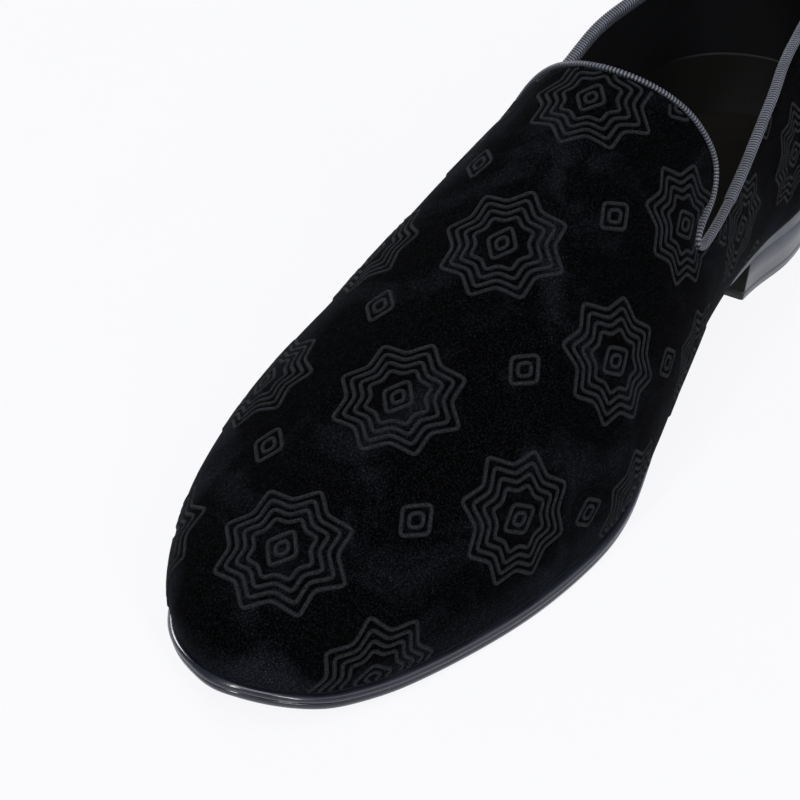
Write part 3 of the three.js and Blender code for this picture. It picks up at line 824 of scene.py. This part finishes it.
def ribbon_place(i, j):
    """The ribbon's point at ring i and row j of its closed section."""
    i %= ring_count
    row = RIBBON_SECTION[j % len(RIBBON_SECTION)]
    lapped = LAP if quarter_ribbon[i] else 0
    swell = row["swell"] * (RIB_SWELL * (rib_height(i) - 0.5) + lapped)
    depth = INSIDE_DEPTH if row["out"] < -RIBBON_MIDDLE else lip[i]
    down = row["down"] * (depth if row["down"] > 0 else LIP_ON_QUARTER)
    across = row["out"] + RIBBON_MIDDLE
    grown = across + math.copysign(swell, across)
    lift = swell if row["down"] < OVER_THE_FOLD else 0
    return Vector(rim_path[i] + rim_out[i] * (grown - RIBBON_MIDDLE) + rim_down[i] * (down - lift))


ribbon_form = bmesh.new()
rib_layer = ribbon_form.verts.layers.float.new("rib_height")
for vert, i, _ in laid_grid(ribbon_form, ring_count, len(RIBBON_SECTION), ribbon_place):
    vert[rib_layer] = rib_height(i)
bmesh.ops.remove_doubles(ribbon_form, verts=ribbon_form.verts, dist=MERGE_MM)

# %% [markdown]
# Grosgrain's weft is packed over thick cords, so the tops of its ribs catch the light and the valleys
# between stay nearly black. Both are painted into its colour: shade in the valleys, a highlight on the
# tops. A stripe drawn round the rim would slip from the ribs, so the height kept on each vertex mixes the
# two tones, and a fine noise stands for single threads.

# %% Grosgrain
# It gives the eye a row of small grey highlights, painted on the rib tops, with a dull silk sheen.
grosgrain, grosgrain_shader = new_material(
    "grosgrain ribbon", "#3a3c45", 0.6, Sheen_Weight=0.05, Sheen_Roughness=0.4, Sheen_Tint=linear("#cfd6e6"),
    Specular_IOR_Level=0.25,
)
THREAD_MM = 0.16  # about a single weft thread, so it only takes the polish off the ribs
WORN_MM = 6
where = add_node(grosgrain, "TexCoord").outputs["Object"]
worn = add_node(grosgrain, "TexNoise", {"Scale": repeats(WORN_MM), "Detail": 4}, Vector=where)
rib_top_highlight = add_node(grosgrain, "Mix", two_tones("#3d3f47", "#696c79"), _0=worn.outputs["Fac"])
up_the_rib = add_node(grosgrain, "Attribute", {"attribute_name": "rib_height"})
shade_to_highlight = add_node(grosgrain, "MapRange", {"From Min": 0.2}, Value=up_the_rib.outputs["Fac"])
# Painted shade in the rib valleys and a painted highlight on the rib tops.
ribbon_shade_and_highlight = add_node(
    grosgrain, "Mix", {"data_type": "RGBA", 6: linear("#08090b")},
    _0=shade_to_highlight.outputs["Result"], _7=rib_top_highlight.outputs[2],
)
connect(grosgrain, ribbon_shade_and_highlight.outputs[2], grosgrain_shader, "Base Color")
threads = add_node(grosgrain, "TexNoise", {"Scale": repeats(THREAD_MM), "Detail": 2}, Vector=where)
thread_bump = add_node(grosgrain, "Bump", {"Strength": 0.4, "Distance": 0.06 * MM}, Height=threads.outputs["Fac"])
connect(grosgrain, thread_bump.outputs["Normal"], grosgrain_shader, "Normal")
binding = finished(ribbon_form, "grosgrain_binding", grosgrain)

# %% [markdown]
# The velvet carries embroidery: thread laid as a thick matt cord. The figure is the old eight-pointed
# star of two crossed squares, drawn four times one inside the other round two small lozenges, and the
# stars stand in straight rows with lozenges between them. A figure is drawn flat, held over the velvet
# and dropped straight down onto it, and it is cut where a seam, the ribbon or the sole cuts the cloth.
# Relief in the velvet's material would be quicker, but a real cord has sides that catch the light.

# %% The figures, drawn flat
CORD_WIDTH = 1.2
CORD_HEIGHT = 0.36
CORD_STEP = 0.65
STAR_RADII = (16, 13.4, 10.8, 8.2)
STAR_WAIST = math.cos(math.radians(45)) / math.cos(math.radians(22.5))
LOZENGE_RADII = (5, 2.3)
FILLER_RADII = (5.2, 2.5)


def star(radius):
    """Corners of an eight-pointed star, from the point that looks to the toe."""
    turns = [math.radians(22.5 * k) for k in range(16)]
    reach = [radius * (1 if k % 2 == 0 else STAR_WAIST) for k in range(16)]
    return [(r * math.sin(turn), r * math.cos(turn)) for r, turn in zip(reach, turns)]


def lozenge(radius):
    """Corners of a lozenge, a little longer along the shoe than across it."""
    return [(0, radius), (0.8 * radius, 0), (0, -radius), (-0.8 * radius, 0)]


def stitched_round(corners):
    """Even steps round a closed figure, with its corners a little rounded."""
    closed = np.array([*corners, corners[0]], float)
    lengths = np.concatenate([[0], np.cumsum(np.linalg.norm(np.diff(closed, axis=0), axis=1))])
    count = round(lengths[-1] / CORD_STEP)
    marks = np.arange(count) * lengths[-1] / count
    return round_the_loop(np.column_stack([np.interp(marks, lengths, closed[:, k]) for k in (0, 1)]), 1)


STAR_FIGURE = [stitched_round(star(radius)) for radius in STAR_RADII]
STAR_FIGURE += [stitched_round(lozenge(radius)) for radius in LOZENGE_RADII]
FILLER_FIGURE = [stitched_round(lozenge(radius)) for radius in FILLER_RADII]

# %% One cord on the velvet
# The section's points are shares of the cord's width and of its height.
CORD_SECTION = ((-0.5, -0.25), (-0.36, 0.4), (0, 1), (0.36, 0.4), (0.5, -0.25))
EDGE_KEEP = 0.7
cord_form = bmesh.new()
cord_run = cord_form.verts.layers.float.new("cord_mm")
cord_top = cord_form.verts.layers.float.new("cord_top")


def on_cloth(point, on_vamp):
    """Whether a cord may lie at a point: inside the ribbon, the sole and its own side of the seam."""
    past_seam = (point.y - seam_place(point.z)) * (1 if on_vamp else -1)
    _, nearest, apart = rim_tree.find(point)
    below_rim = rim_down[nearest].dot(point - Vector(rim_path[nearest])) > 0
    clear_of_ribbon = below_rim and apart > lip[nearest] + EDGE_KEEP
    return past_seam > EDGE_KEEP and clear_of_ribbon and point.z > feather_height(point.y) + EDGE_KEEP


def lay_cord(places, normals):
    """Sweeps the cord's half-round section along places on the cloth."""
    places = np.array(places)
    normals = np.array(normals)
    along = np.gradient(places, axis=0)
    aside = np.cross(along, normals)
    aside /= np.linalg.norm(aside, axis=1, keepdims=True)

    def cord_place(i, j):
        side, up = CORD_SECTION[j]
        return Vector(places[i] + aside[i] * side * CORD_WIDTH + normals[i] * up * CORD_HEIGHT)

    ends = len(places) - 1
    for vert, i, j in laid_grid(cord_form, ends, len(CORD_SECTION) - 1, lambda i, j: cord_place(ends - i, j)):
        vert[cord_run] = i * CORD_STEP
        vert[cord_top] = max(CORD_SECTION[j][1], 0)


# %% A figure dropped onto the velvet
HOLD_OVER = 14
SHORTEST_RUN = 3


def embroider(figure, centre, on_vamp):
    """Drops each line of a figure onto the velvet round a centre on the last."""
    place, normal, _, _ = velvet_tree.find_nearest(centre)
    forward = (Vector((0, 1, 0)) - normal * normal.y).normalized()
    aside = forward.cross(normal)
    for line in figure:
        landed = []
        for across, ahead in line:
            start = place + aside * across + forward * ahead + normal * HOLD_OVER
            hit, facing_out, _, _ = velvet_tree.ray_cast(start, -normal, 3 * HOLD_OVER)
            landed.append((hit, facing_out) if hit and on_cloth(hit, on_vamp) else None)
        gaps = [k for k, spot in enumerate(landed) if spot is None]
        if gaps:
            landed = landed[gaps[0] :] + landed[: gaps[0]]
        else:
            landed = landed + landed[:2]
        run = []
        for spot in [*landed, None]:
            if spot:
                run.append(spot)
                continue
            if len(run) > SHORTEST_RUN:
                lay_cord(*zip(*run))
            run = []


# %% Places for the figures
RAYS_FROM = 8
SECTION_RAYS = 120
SECTION_SPAN = math.radians(118)


def across_the_vamp(along, distance):
    """The point on the last a distance round from the crest, above zero on the inner side."""
    y = along * LAST_LENGTH
    middle = Vector((crest_shift(along) * TREAD_WIDTH, y, feather_height(y) + RAYS_FROM))
    side = math.copysign(1, distance)
    walked = 0
    before = None
    for k in range(SECTION_RAYS + 1):
        turn = side * SECTION_SPAN * k / SECTION_RAYS
        hit = last_tree.ray_cast(middle, Vector((math.sin(turn), 0, math.cos(turn))))[0]
        if hit is None:
            return None
        if before is not None:
            walked += (hit - before).length
        if walked >= abs(distance):
            return hit
        before = hit
    return None


def up_the_quarter(along, inner, height):
    """The point on the quarter a height over the feather line."""
    points = rib(along * LAST_LENGTH, inner, RIB_CUTS)
    return min(points, key=lambda point: abs(point.z - points[0].z - height))


# %% Rows of stars on vamp and quarters
VAMP_ROWS = (0.925, 0.778, 0.627, 0.478)
COLUMN_PITCH = 41
VAMP_COLUMNS = (-2, -1, 0, 1, 2)
QUARTER_STARS = (0.045, 0.2, 0.352)
QUARTER_HEIGHT = 27
FILLER_BACK = 0.075
FILLER_AHEAD = 0.078
FILLER_RISE = 20
stars = 0
for along in VAMP_ROWS:
    for column in VAMP_COLUMNS:
        centre = across_the_vamp(along, column * COLUMN_PITCH)
        if centre:
            embroider(STAR_FIGURE, centre, on_vamp=True)
            stars += 1
        between = across_the_vamp(along - FILLER_BACK, (column + 0.5) * COLUMN_PITCH)
        if between and column < VAMP_COLUMNS[-1]:
            embroider(FILLER_FIGURE, between, on_vamp=True)
for inner in (True, False):
    for along in QUARTER_STARS:
        embroider(STAR_FIGURE, up_the_quarter(along, inner, QUARTER_HEIGHT), on_vamp=False)
        stars += 1
        for height in (QUARTER_HEIGHT - FILLER_RISE, QUARTER_HEIGHT + FILLER_RISE):
            embroider(FILLER_FIGURE, up_the_quarter(along + FILLER_AHEAD, inner, height), on_vamp=False)
print("embroidery:", stars, "stars,", len(cord_form.faces), "faces")

# %% [markdown]
# The thread is matt and a little paler than the velvet, and its stitches lie across the cord. Their
# twist follows the cord's own length, kept on each vertex, because a pattern in space would run across
# the turns of a star. Colour falls from the cord's crown to its foot, as painted shade where it sinks in pile.

# %% Embroidery thread
# It gives the eye no gloss at all: a line is seen by its pale crown against the blacker velvet, its foot in
# painted shade.
cord_thread, cord_shader = new_material(
    "matt embroidery thread", "#1e1f22", 0.85, Sheen_Weight=0.015, Sheen_Roughness=0.5,
    Sheen_Tint=linear("#c8ccd6"), Specular_IOR_Level=0.04,
)
STITCH_MM = 0.5
FUZZ_MM = 0.35  # single fibres are too fine to show, so tufts of them are drawn
where = add_node(cord_thread, "TexCoord").outputs["Object"]
fuzz = add_node(cord_thread, "TexNoise", {"Scale": repeats(FUZZ_MM), "Detail": 3, "Roughness": 0.7}, Vector=where)
fuzz_share = add_node(cord_thread, "MapRange", {"From Min": 0.4, "From Max": 0.64}, Value=fuzz.outputs["Fac"])
crown_colour = add_node(cord_thread, "Mix", two_tones("#08090a", "#26272b"), _0=fuzz_share.outputs["Result"])
up_the_cord = add_node(cord_thread, "Attribute", {"attribute_name": "cord_top"})
# Painted shade: the colour falls to near black toward the cord's foot.
thread_colour = add_node(
    cord_thread, "Mix", {"data_type": "RGBA", 6: linear("#08090a")},
    _0=up_the_cord.outputs["Fac"], _7=crown_colour.outputs[2],
)
connect(cord_thread, thread_colour.outputs[2], cord_shader, "Base Color")

# %% Its stitches as relief
cord_length = add_node(cord_thread, "Attribute", {"attribute_name": "cord_mm"})
turns_per_mm = {"operation": "MULTIPLY", 1: 2 * math.pi / STITCH_MM}
stitch_turn = add_node(cord_thread, "Math", turns_per_mm, _0=cord_length.outputs["Fac"])
stitches = add_node(cord_thread, "Math", {"operation": "SINE"}, _0=stitch_turn.outputs[0])
fuzz_bump = add_node(cord_thread, "Bump", {"Strength": 0.5, "Distance": 0.1 * MM}, Height=fuzz.outputs["Fac"])
stitch_bump = add_node(
    cord_thread, "Bump", {"Strength": 0.35, "Distance": 0.08 * MM},
    Height=stitches.outputs[0], Normal=fuzz_bump.outputs["Normal"],
)
connect(cord_thread, stitch_bump.outputs["Normal"], cord_shader, "Normal")
embroidery = finished(cord_form, "corded_embroidery", cord_thread, outward=False)

# %% [markdown]
# The bottom of a shoe is stacked outlines, each a little in or out from the feather line. A profile swept
# along a curve could make the edge, but not the plates that close it. So one helper makes such a stack:
# a band of grid goes round all the outlines, and a plate closes the first and the last. It serves for
# insole, sole, heel and top lift, which differ only in their levels.

# %% Helper for stacked outlines
PLATE_CUTS = 14
SOLE_STATIONS = 180


def stacked(levels, places):
    """A closed bmesh through outlines. A level gives the point at a place along either side."""

    def at(level, y, across):
        return level(y, True).lerp(level(y, False), across)

    shares = [k / PLATE_CUTS for k in range(1, PLATE_CUTS)]
    ring = [(y, 0) for y in places] + [(places[-1], share) for share in shares]
    ring += [(y, 1) for y in reversed(places)] + [(places[0], 1 - share) for share in shares]
    bm = bmesh.new()
    laid_grid(bm, len(ring), len(levels) - 1, lambda i, j: at(levels[j], *ring[i % len(ring)]))
    for level in (levels[0], levels[-1]):
        laid_grid(bm, len(places) - 1, PLATE_CUTS, lambda i, j: at(level, places[i], j / PLATE_CUTS))
    bmesh.ops.remove_doubles(bm, verts=bm.verts, dist=MERGE_MM)
    return bm


sole_places = [evenly_to_the_ends(k, SOLE_STATIONS, LAST_LENGTH) for k in range(SOLE_STATIONS + 1)]
flange_sides = {True: follow(FLANGE, "inner"), False: follow(FLANGE, "outer")}


def flange_reach(y, inner):
    """How far the sole's edge stands out from the feather line, below zero in the waist."""
    return SOLE_FLANGE * flange_sides[inner](y / LAST_LENGTH)


# %% [markdown]
# The insole is a board with a thin pad and a leather sock over it. Its edge rolls down against the
# lining, and feet press it smooth. A flat plate would show a sharp rim inside the mouth, so its levels
# draw in along a quarter round. Each pair below is a share of its thickness and the millimetres in.

# %% The padded insole
INSOLE_ROUNDING = ((0, 0), (0.5, 0), (0.72, 0.12), (0.88, 0.35), (0.97, 0.7), (1, 1.2))


def insole_level(rise, draw):
    """An outline of the insole at a share of its thickness, drawn in by so many millimetres."""

    def level(y, inner):
        inset = CLOTH_AND_LINING + 2 * CLEARANCE + draw
        point, _ = beside_feather(y, inner, -inset)
        point.z = feather_height(point.y) + LASTING_THICKNESS + CLEARANCE + rise * INSOLE_THICKNESS
        return point

    return level


insole_form = stacked([insole_level(rise, draw) for rise, draw in INSOLE_ROUNDING], sole_places)

# %% Sock leather
# It gives the eye a warmer, duller black than the lining, so that the inside has a floor.
sock, sock_shader = new_material("calf sock leather", "#14110e", 0.6, Specular_IOR_Level=0.15)
PRESSED_MM = 40
where = add_node(sock, "TexCoord").outputs["Object"]
pressed = add_node(sock, "TexNoise", {"Scale": repeats(PRESSED_MM), "Detail": 3}, Vector=where)
sock_colour = add_node(sock, "Mix", two_tones("#070605", "#12100e"), _0=pressed.outputs["Fac"])
connect(sock, sock_colour.outputs[2], sock_shader, "Base Color")
grain = add_node(sock, "TexVoronoi", grain_edges, Vector=where)
grain_bump = add_node(sock, "Bump", {"Strength": 0.3, "Distance": 0.08 * MM}, Height=grain.outputs["Distance"])
connect(sock, grain_bump.outputs["Normal"], sock_shader, "Normal")
insole = finished(insole_form, "padded_insole", sock)

# %% [markdown]
# The sole's edge is trimmed in two tiers: a round bead under the velvet and a flatter band below a
# narrow groove. Over the heel both are sanded flush with it. A bevel can't give that profile, so each
# pair below is a level: how far down and how far in it lies, in shares of the sole's thickness.

# %% The two-tier sole
SOLE_EDGE = (
    (1, 0.25), (0.96, 0.17), (0.88, 0.11), (0.74, 0.08), (0.58, 0.075), (0.54, 0.12), (0.51, 0.175),
    (0.48, 0.17), (0.46, 0.1), (0.42, 0.045), (0.36, 0.01), (0.3, 0), (0.23, 0.01), (0.16, 0.04),
    (0.1, 0.085), (0.05, 0.14), (0.02, 0.2), (0, 0.28),
)
SEAT_INSET = 0.03
SEAT_END = 76
SEAT_FADE = 95


def seat_share(y):
    """One over the heel, where the sole's edge is sanded flush with it, fading to zero in the waist."""
    return 1 - smooth_step(y, SEAT_END, SEAT_FADE)


def sole_level(drop, inset):
    """An outline of the sole, so far down and in, in shares of its thickness."""

    def level(y, inner):
        trimmed = inset + (min(inset, SEAT_INSET) - inset) * seat_share(y)
        point, _ = beside_feather(y, inner, flange_reach(y, inner) - trimmed * SOLE_THICKNESS)
        point.z = feather_height(point.y) - CLEARANCE - drop * SOLE_THICKNESS
        return point

    return level


sole_form = stacked([sole_level(drop, inset) for drop, inset in SOLE_EDGE], sole_places)
seat_layer = sole_form.verts.layers.float.new("seat")
for vert in sole_form.verts:
    vert[seat_layer] = seat_share(vert.co.y)

# %% [markdown]
# The edge is inked black, waxed and burnished with a hot iron, which leaves long cool highlights on the
# bead, and a duller band that has seen a little dust. Over the heel it takes the stack's grey, a painted
# reflection of the bright floor. Two materials would meet in a hard line at the waist, so one blends
# them by the seat share of each vertex.

# %% Inked and burnished sole leather
# It gives the eye a hard, clear highlight over black: the wax is a coat, and thins out toward the heel.
burnished, burnished_shader = new_material(
    "inked and burnished sole leather", "#101114", 0.34, Specular_IOR_Level=0.15,
    Coat_Roughness=0.2, Coat_Tint=linear("#dfe6ff"),
)
WAX_COAT = 0.8
FIBRE_MM = 1.6
DUST_MM = 9
where = add_node(burnished, "TexCoord").outputs["Object"]
on_seat = add_node(burnished, "Attribute", {"attribute_name": "seat"}).outputs["Fac"]
fibre = {"Scale": repeats(FIBRE_MM), "Detail": 5, "Roughness": 0.65}
fibres = add_node(burnished, "TexNoise", fibre, Vector=where)
dust = add_node(burnished, "TexNoise", {"Scale": repeats(DUST_MM), "Detail": 4}, Vector=where)
inked_colour = add_node(burnished, "Mix", two_tones("#060709", "#1a1b20"), _0=dust.outputs["Fac"])
# Painted reflection: over the heel seat the edge takes the stack's grey, for the floor mirrored in it.
seat_reflection_grey = add_node(burnished, "Mix", two_tones("#42444a", "#56585f"), _0=fibres.outputs["Fac"])
sole_colour = add_node(
    burnished, "Mix", {"data_type": "RGBA"}, _0=on_seat, _6=inked_colour.outputs[2], _7=seat_reflection_grey.outputs[2],
)
connect(burnished, sole_colour.outputs[2], burnished_shader, "Base Color")
gloss = {"From Min": 0.35, "From Max": 0.65, "To Min": 0.3, "To Max": 0.55}
burnished_gloss = add_node(burnished, "MapRange", gloss, Value=dust.outputs["Fac"])
connect(burnished, burnished_gloss.outputs["Result"], burnished_shader, "Roughness")
wax_left = add_node(burnished, "MapRange", {"To Min": WAX_COAT, "To Max": 0}, Value=on_seat)
connect(burnished, wax_left.outputs["Result"], burnished_shader, "Coat Weight")
fibre_bump = add_node(burnished, "Bump", {"Strength": 0.35, "Distance": 0.12 * MM}, Height=fibres.outputs["Fac"])
connect(burnished, fibre_bump.outputs["Normal"], burnished_shader, "Normal")
sole = finished(sole_form, "two_tier_sole", burnished)

# %% [markdown]
# The heel is a stack of leather lifts, sanded flush and finished dark, with a straight breast in front
# and a rubber top lift below. Its sides draw in toward the floor. A cylinder cut flat could stand for it,
# but only the feather line's own outlines keep it flush with the sole. A bevel rounds the upright corners
# of the breast, where the sander goes over them.

# %% Shape of heel and top lift
CORNER_ROUND = 1.2
CORNER_STEPS = 4
SHARP_TURN = math.radians(50)
UPRIGHT_RISE = 1
HEEL_STATIONS = 60
heel_places = [HEEL_LENGTH * (1 - math.cos(math.pi * k / (2 * HEEL_STATIONS))) for k in range(HEEL_STATIONS + 1)]


def heel_level(height_at):
    """An outline of the heel at the height that height_at gives for the full height there."""

    def level(y, inner):
        full = feather_height(y) - 2 * CLEARANCE - SOLE_THICKNESS
        height = height_at(full)
        draw = HEEL_TAPER * (1 - height / full)
        point, _ = beside_feather(y, inner, flange_reach(y, inner) - draw)
        point.y = min(point.y, HEEL_LENGTH - draw)
        point.z = height
        return point

    return level


def round_the_corners(bm):
    """Bevels the upright corners of the breast, as the sander leaves them."""
    sharp = [edge for edge in bm.edges if edge.is_manifold and edge.calc_face_angle(0) > SHARP_TURN]
    upright = [edge for edge in sharp if abs(edge.verts[0].co.z - edge.verts[1].co.z) > UPRIGHT_RISE]
    bmesh.ops.bevel(
        bm, geom=upright, offset=CORNER_ROUND, segments=CORNER_STEPS, profile=0.5, affect="EDGES", material=-1,
    )


def heel_part(low, high, own_finish):
    """A slice of the heel. Faces where own_finish(normal) is false take the second material."""
    bm = stacked([heel_level(low), heel_level(high)], heel_places)
    bmesh.ops.recalc_face_normals(bm, faces=bm.faces)
    round_the_corners(bm)
    bm.normal_update()
    for face in bm.faces:
        face.material_index = 0 if own_finish(face.normal) else 1
    return bm


# %% [markdown]
# The stack and the lift's sides get a grey that stands for the bright floor mirrored in their dark satin,
# a painted reflection, and the breast is inked black by brush. Both finishes are plain: one noise sets
# their tone and their faint relief. Two materials part cleanly here, because each keeps to faces that
# turn another way.

# %% The stacked heel
# The grey gives the eye an even satin look, as a painted reflection; the ink a flat black that hides the layers.
painted, painted_shader = new_material(
    "dark leather stack, grey painted reflection", "#4b4d53", 0.42, Specular_IOR_Level=0.4, Coat_Weight=0.1, Coat_Roughness=0.3,
)
SANDED_MM = 3
where = add_node(painted, "TexCoord").outputs["Object"]
sanded = add_node(painted, "TexNoise", {"Scale": repeats(SANDED_MM), "Detail": 5, "Roughness": 0.6}, Vector=where)
# Painted reflection: this grey stands for the bright floor mirrored in the dark stack.
lay_finish(painted, painted_shader, sanded.outputs["Fac"], ("#3b3d43", "#4e5057"), 0.15, 0.1)

breast_ink, breast_shader = new_material("black edge ink", "#0e0f11", 0.7, Specular_IOR_Level=0.1)
BRUSHMARK_MM = 2.5
where = add_node(breast_ink, "TexCoord").outputs["Object"]
brushmarks = add_node(breast_ink, "TexNoise", {"Scale": repeats(BRUSHMARK_MM), "Detail": 4}, Vector=where)
lay_finish(breast_ink, breast_shader, brushmarks.outputs["Fac"], ("#040405", "#0c0d0e"), 0.2, 0.1)

BREAST_FACING = 0.5
JOINT_LINE = 0.05
heel_form = heel_part(
    lambda full: LIFT_THICKNESS + CLEARANCE,
    lambda full: full + CLEARANCE - JOINT_LINE,
    lambda normal: normal.y < BREAST_FACING,
)
heel = finished(heel_form, "stacked_heel", painted, breast_ink)

# %% [markdown]
# The top lift is the part that wears, so it is rubber, nailed under the stack. It is the same slice as
# the heel with other levels, which keeps the two flush. Its sides take the stack's grey painted
# reflection, so rubber shows only below and at the breast.

# %% The rubber top lift
# Moulded rubber gives the eye a matt, slightly gritty black, with no clear highlight.
lift_form = heel_part(
    lambda full: 0,
    lambda full: LIFT_THICKNESS + CLEARANCE - JOINT_LINE,
    lambda normal: abs(normal.z) > BREAST_FACING or normal.y > BREAST_FACING,
)
rubber, rubber_shader = new_material("moulded black rubber", "#1c1d20", 0.6, Specular_IOR_Level=0.3)
GRIT_MM = 0.8
where = add_node(rubber, "TexCoord").outputs["Object"]
grit = add_node(rubber, "TexNoise", {"Scale": repeats(GRIT_MM), "Detail": 4}, Vector=where)
lay_finish(rubber, rubber_shader, grit.outputs["Fac"], ("#0d0e0f", "#1c1d1f"), 0.2, 0.1)
top_lift = finished(lift_form, "rubber_top_lift", rubber, painted)

# %% [markdown]
# Every piece rides on the frame's one body and stands for the solid that it replaces, which is hidden.
# Each row also names the piece's slot.

# %% Tie the pieces to the frame
TIES = (
    (velvet_upper, "upper", "velvet"),
    (embroidery, None, "velvet"),
    (binding, "topline_binding", "ribbon"),
    (insole, "insole", "lining_leather"),
    (sole, "outsole", "sole_edge"),
    (heel, "heel_block", "heel_stack"),
    (top_lift, "heel_top_lift", "heel_lift"),
)
for piece, node, slot in TIES:
    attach(piece, "root")
    if node:
        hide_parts(node)

# %% [markdown]
# The shoe stands on a sheet of white paper that is lit from behind as well, as in a catalogue picture,
# where only a faint shade is left round the sole. A plain white floor would go grey under so dark a
# shoe, so most of its brightness is its own.

# %% The pale floor
# Paper gives the eye a flat bright ground without a highlight, so that the shoe's outline is clear.
FLOOR_HALF = 3
FLOOR_DROP = 0.0003
FLOOR_GLOW = 0.93
PAPER_MM = 60
floor_form = bmesh.new()
bmesh.ops.create_grid(floor_form, x_segments=2, y_segments=2, size=FLOOR_HALF)
bmesh.ops.translate(floor_form, verts=floor_form.verts, vec=(0, 0, -FLOOR_DROP))
floor_mesh = bpy.data.meshes.new("pale_floor")
floor_form.to_mesh(floor_mesh)
floor_form.free()
floor = bpy.data.objects.new("pale_floor", floor_mesh)
bpy.context.scene.collection.objects.link(floor)
paper, paper_shader = new_material(
    "back-lit white paper", "#3a3a3b", 0.9, Specular_IOR_Level=0,
    Emission_Color=linear("#fafafc"), Emission_Strength=FLOOR_GLOW,
)
where = add_node(paper, "TexCoord").outputs["Object"]
paper_fibres = add_node(paper, "TexNoise", {"Scale": repeats(PAPER_MM), "Detail": 2}, Vector=where)
paper_colour = add_node(paper, "Mix", two_tones("#383839", "#3c3c3d"), _0=paper_fibres.outputs["Fac"])
connect(paper, paper_colour.outputs[2], paper_shader, "Base Color")
floor_mesh.materials.append(paper)
print("floor:", 2 * FLOOR_HALF, "m wide,", FLOOR_DROP * 1000, "mm under the heel")

# %% [markdown]
# Around the floor stands a pale wall. It looks as bright as the paper, but a wall that bright would light
# the velvet flat, so the shoe gets a fifth of it. A mix by the kind of ray tells the two apart.

# %% The pale studio
ROOM_LIGHT = 0.2
world = bpy.data.worlds.new("pale studio")
world.use_nodes = True
room_light = world.node_tree.nodes["Background"]
room_light.inputs["Color"].default_value = linear("#e8edff")
room_light.inputs["Strength"].default_value = ROOM_LIGHT
pale_wall = add_node(world, "Background", {"Color": linear("#fafafc")})
ray = add_node(world, "LightPath")
wall_or_light = add_node(
    world, "MixShader", _0=ray.outputs["Is Camera Ray"], _1=room_light.outputs[0], _2=pale_wall.outputs[0],
)
connect(world, wall_or_light.outputs[0], world.node_tree.nodes["World Output"], "Surface")
bpy.context.scene.world = world

# %% [markdown]
# Velvet needs light that skims it, and wax needs a shape to mirror. A large box above and one on the
# outer side light the forms, two narrow ones draw the long highlights on the toe's bead, and a low one
# wakes the nap of the inner wall. Each is an area light: a lamp's small spot would give hard shadows.

# %% Soft boxes
def soft_box(name, place, aim, width, height, watts):
    """An oblong area light at place, turned to aim, all in metres."""
    lamp = bpy.data.lights.new(name, "AREA")
    lamp.shape = "RECTANGLE"
    lamp.size = width
    lamp.size_y = height
    lamp.energy = watts
    box = bpy.data.objects.new(name, lamp)
    box.location = place
    box.rotation_euler = (Vector(aim) - Vector(place)).to_track_quat("-Z", "Y").to_euler()
    bpy.context.scene.collection.objects.link(box)
    return box


SHOE_MIDDLE = (0, 0.1, 0.04)
soft_box("top_box", (-0.2, 0.5, 1.35), SHOE_MIDDLE, 0.9, 0.9, 13)
soft_box("outer_box", (-1.5, -0.35, 0.8), SHOE_MIDDLE, 1.2, 1.2, 7)
soft_box("toe_box", (0.05, 1.4, 0.85), SHOE_MIDDLE, 0.1, 0.9, 15)
soft_box("ball_box", (-1.1, 0.8, 0.85), SHOE_MIDDLE, 0.1, 0.9, 15)
soft_box("inner_box", (1.2, -0.4, 0.55), SHOE_MIDDLE, 0.6, 0.4, 12)

# %% [markdown]
# The camera keeps the photograph's view: it looks down from in front of the toe on the outer side, so
# near that the heel and the far end of the mouth run out of the picture. It could be turned by eye, but
# here its direction, roll, distance and lens were fitted to the shoe's outline, and the axes that they
# give are set as its matrix.

# %% The camera
PICTURE_SIZE = 800
SENSOR_MM = 36
FOCAL_PIXELS = 1631.3
VIEW_AZIMUTH = math.radians(213.636)
VIEW_ELEVATION = math.radians(37.366)
VIEW_ROLL = math.radians(-0.248)
VIEW_DISTANCE = 428.9  # in the last's millimetres, as the target is
VIEW_TARGET = Vector((20.2, 185.8 - HEEL_LENGTH / 2, 16.3))
to_camera = Vector((
    math.sin(VIEW_AZIMUTH) * math.cos(VIEW_ELEVATION),
    -math.cos(VIEW_AZIMUTH) * math.cos(VIEW_ELEVATION),
    math.sin(VIEW_ELEVATION),
))
level_right = (-to_camera).cross(Vector((0, 0, 1))).normalized()
level_up = level_right.cross(-to_camera)
right = level_right * math.cos(VIEW_ROLL) + level_up * math.sin(VIEW_ROLL)
up = level_up * math.cos(VIEW_ROLL) - level_right * math.sin(VIEW_ROLL)
lens = bpy.data.cameras.new("photo_view")
lens.sensor_width = SENSOR_MM
lens.lens = FOCAL_PIXELS * SENSOR_MM / PICTURE_SIZE
lens.clip_start = 0.01
camera = bpy.data.objects.new("photo_view", lens)
turned_axes = Matrix((right, up, to_camera)).transposed().to_4x4()
camera.matrix_world = Matrix.Translation((VIEW_TARGET + to_camera * VIEW_DISTANCE) * MM) @ turned_axes
bpy.context.scene.collection.objects.link(camera)
bpy.context.scene.camera = camera
bpy.context.scene.view_settings.view_transform = "Standard"
print("camera:", round(lens.lens, 1), "mm lens,", round(VIEW_DISTANCE * MM, 3), "m from its target")
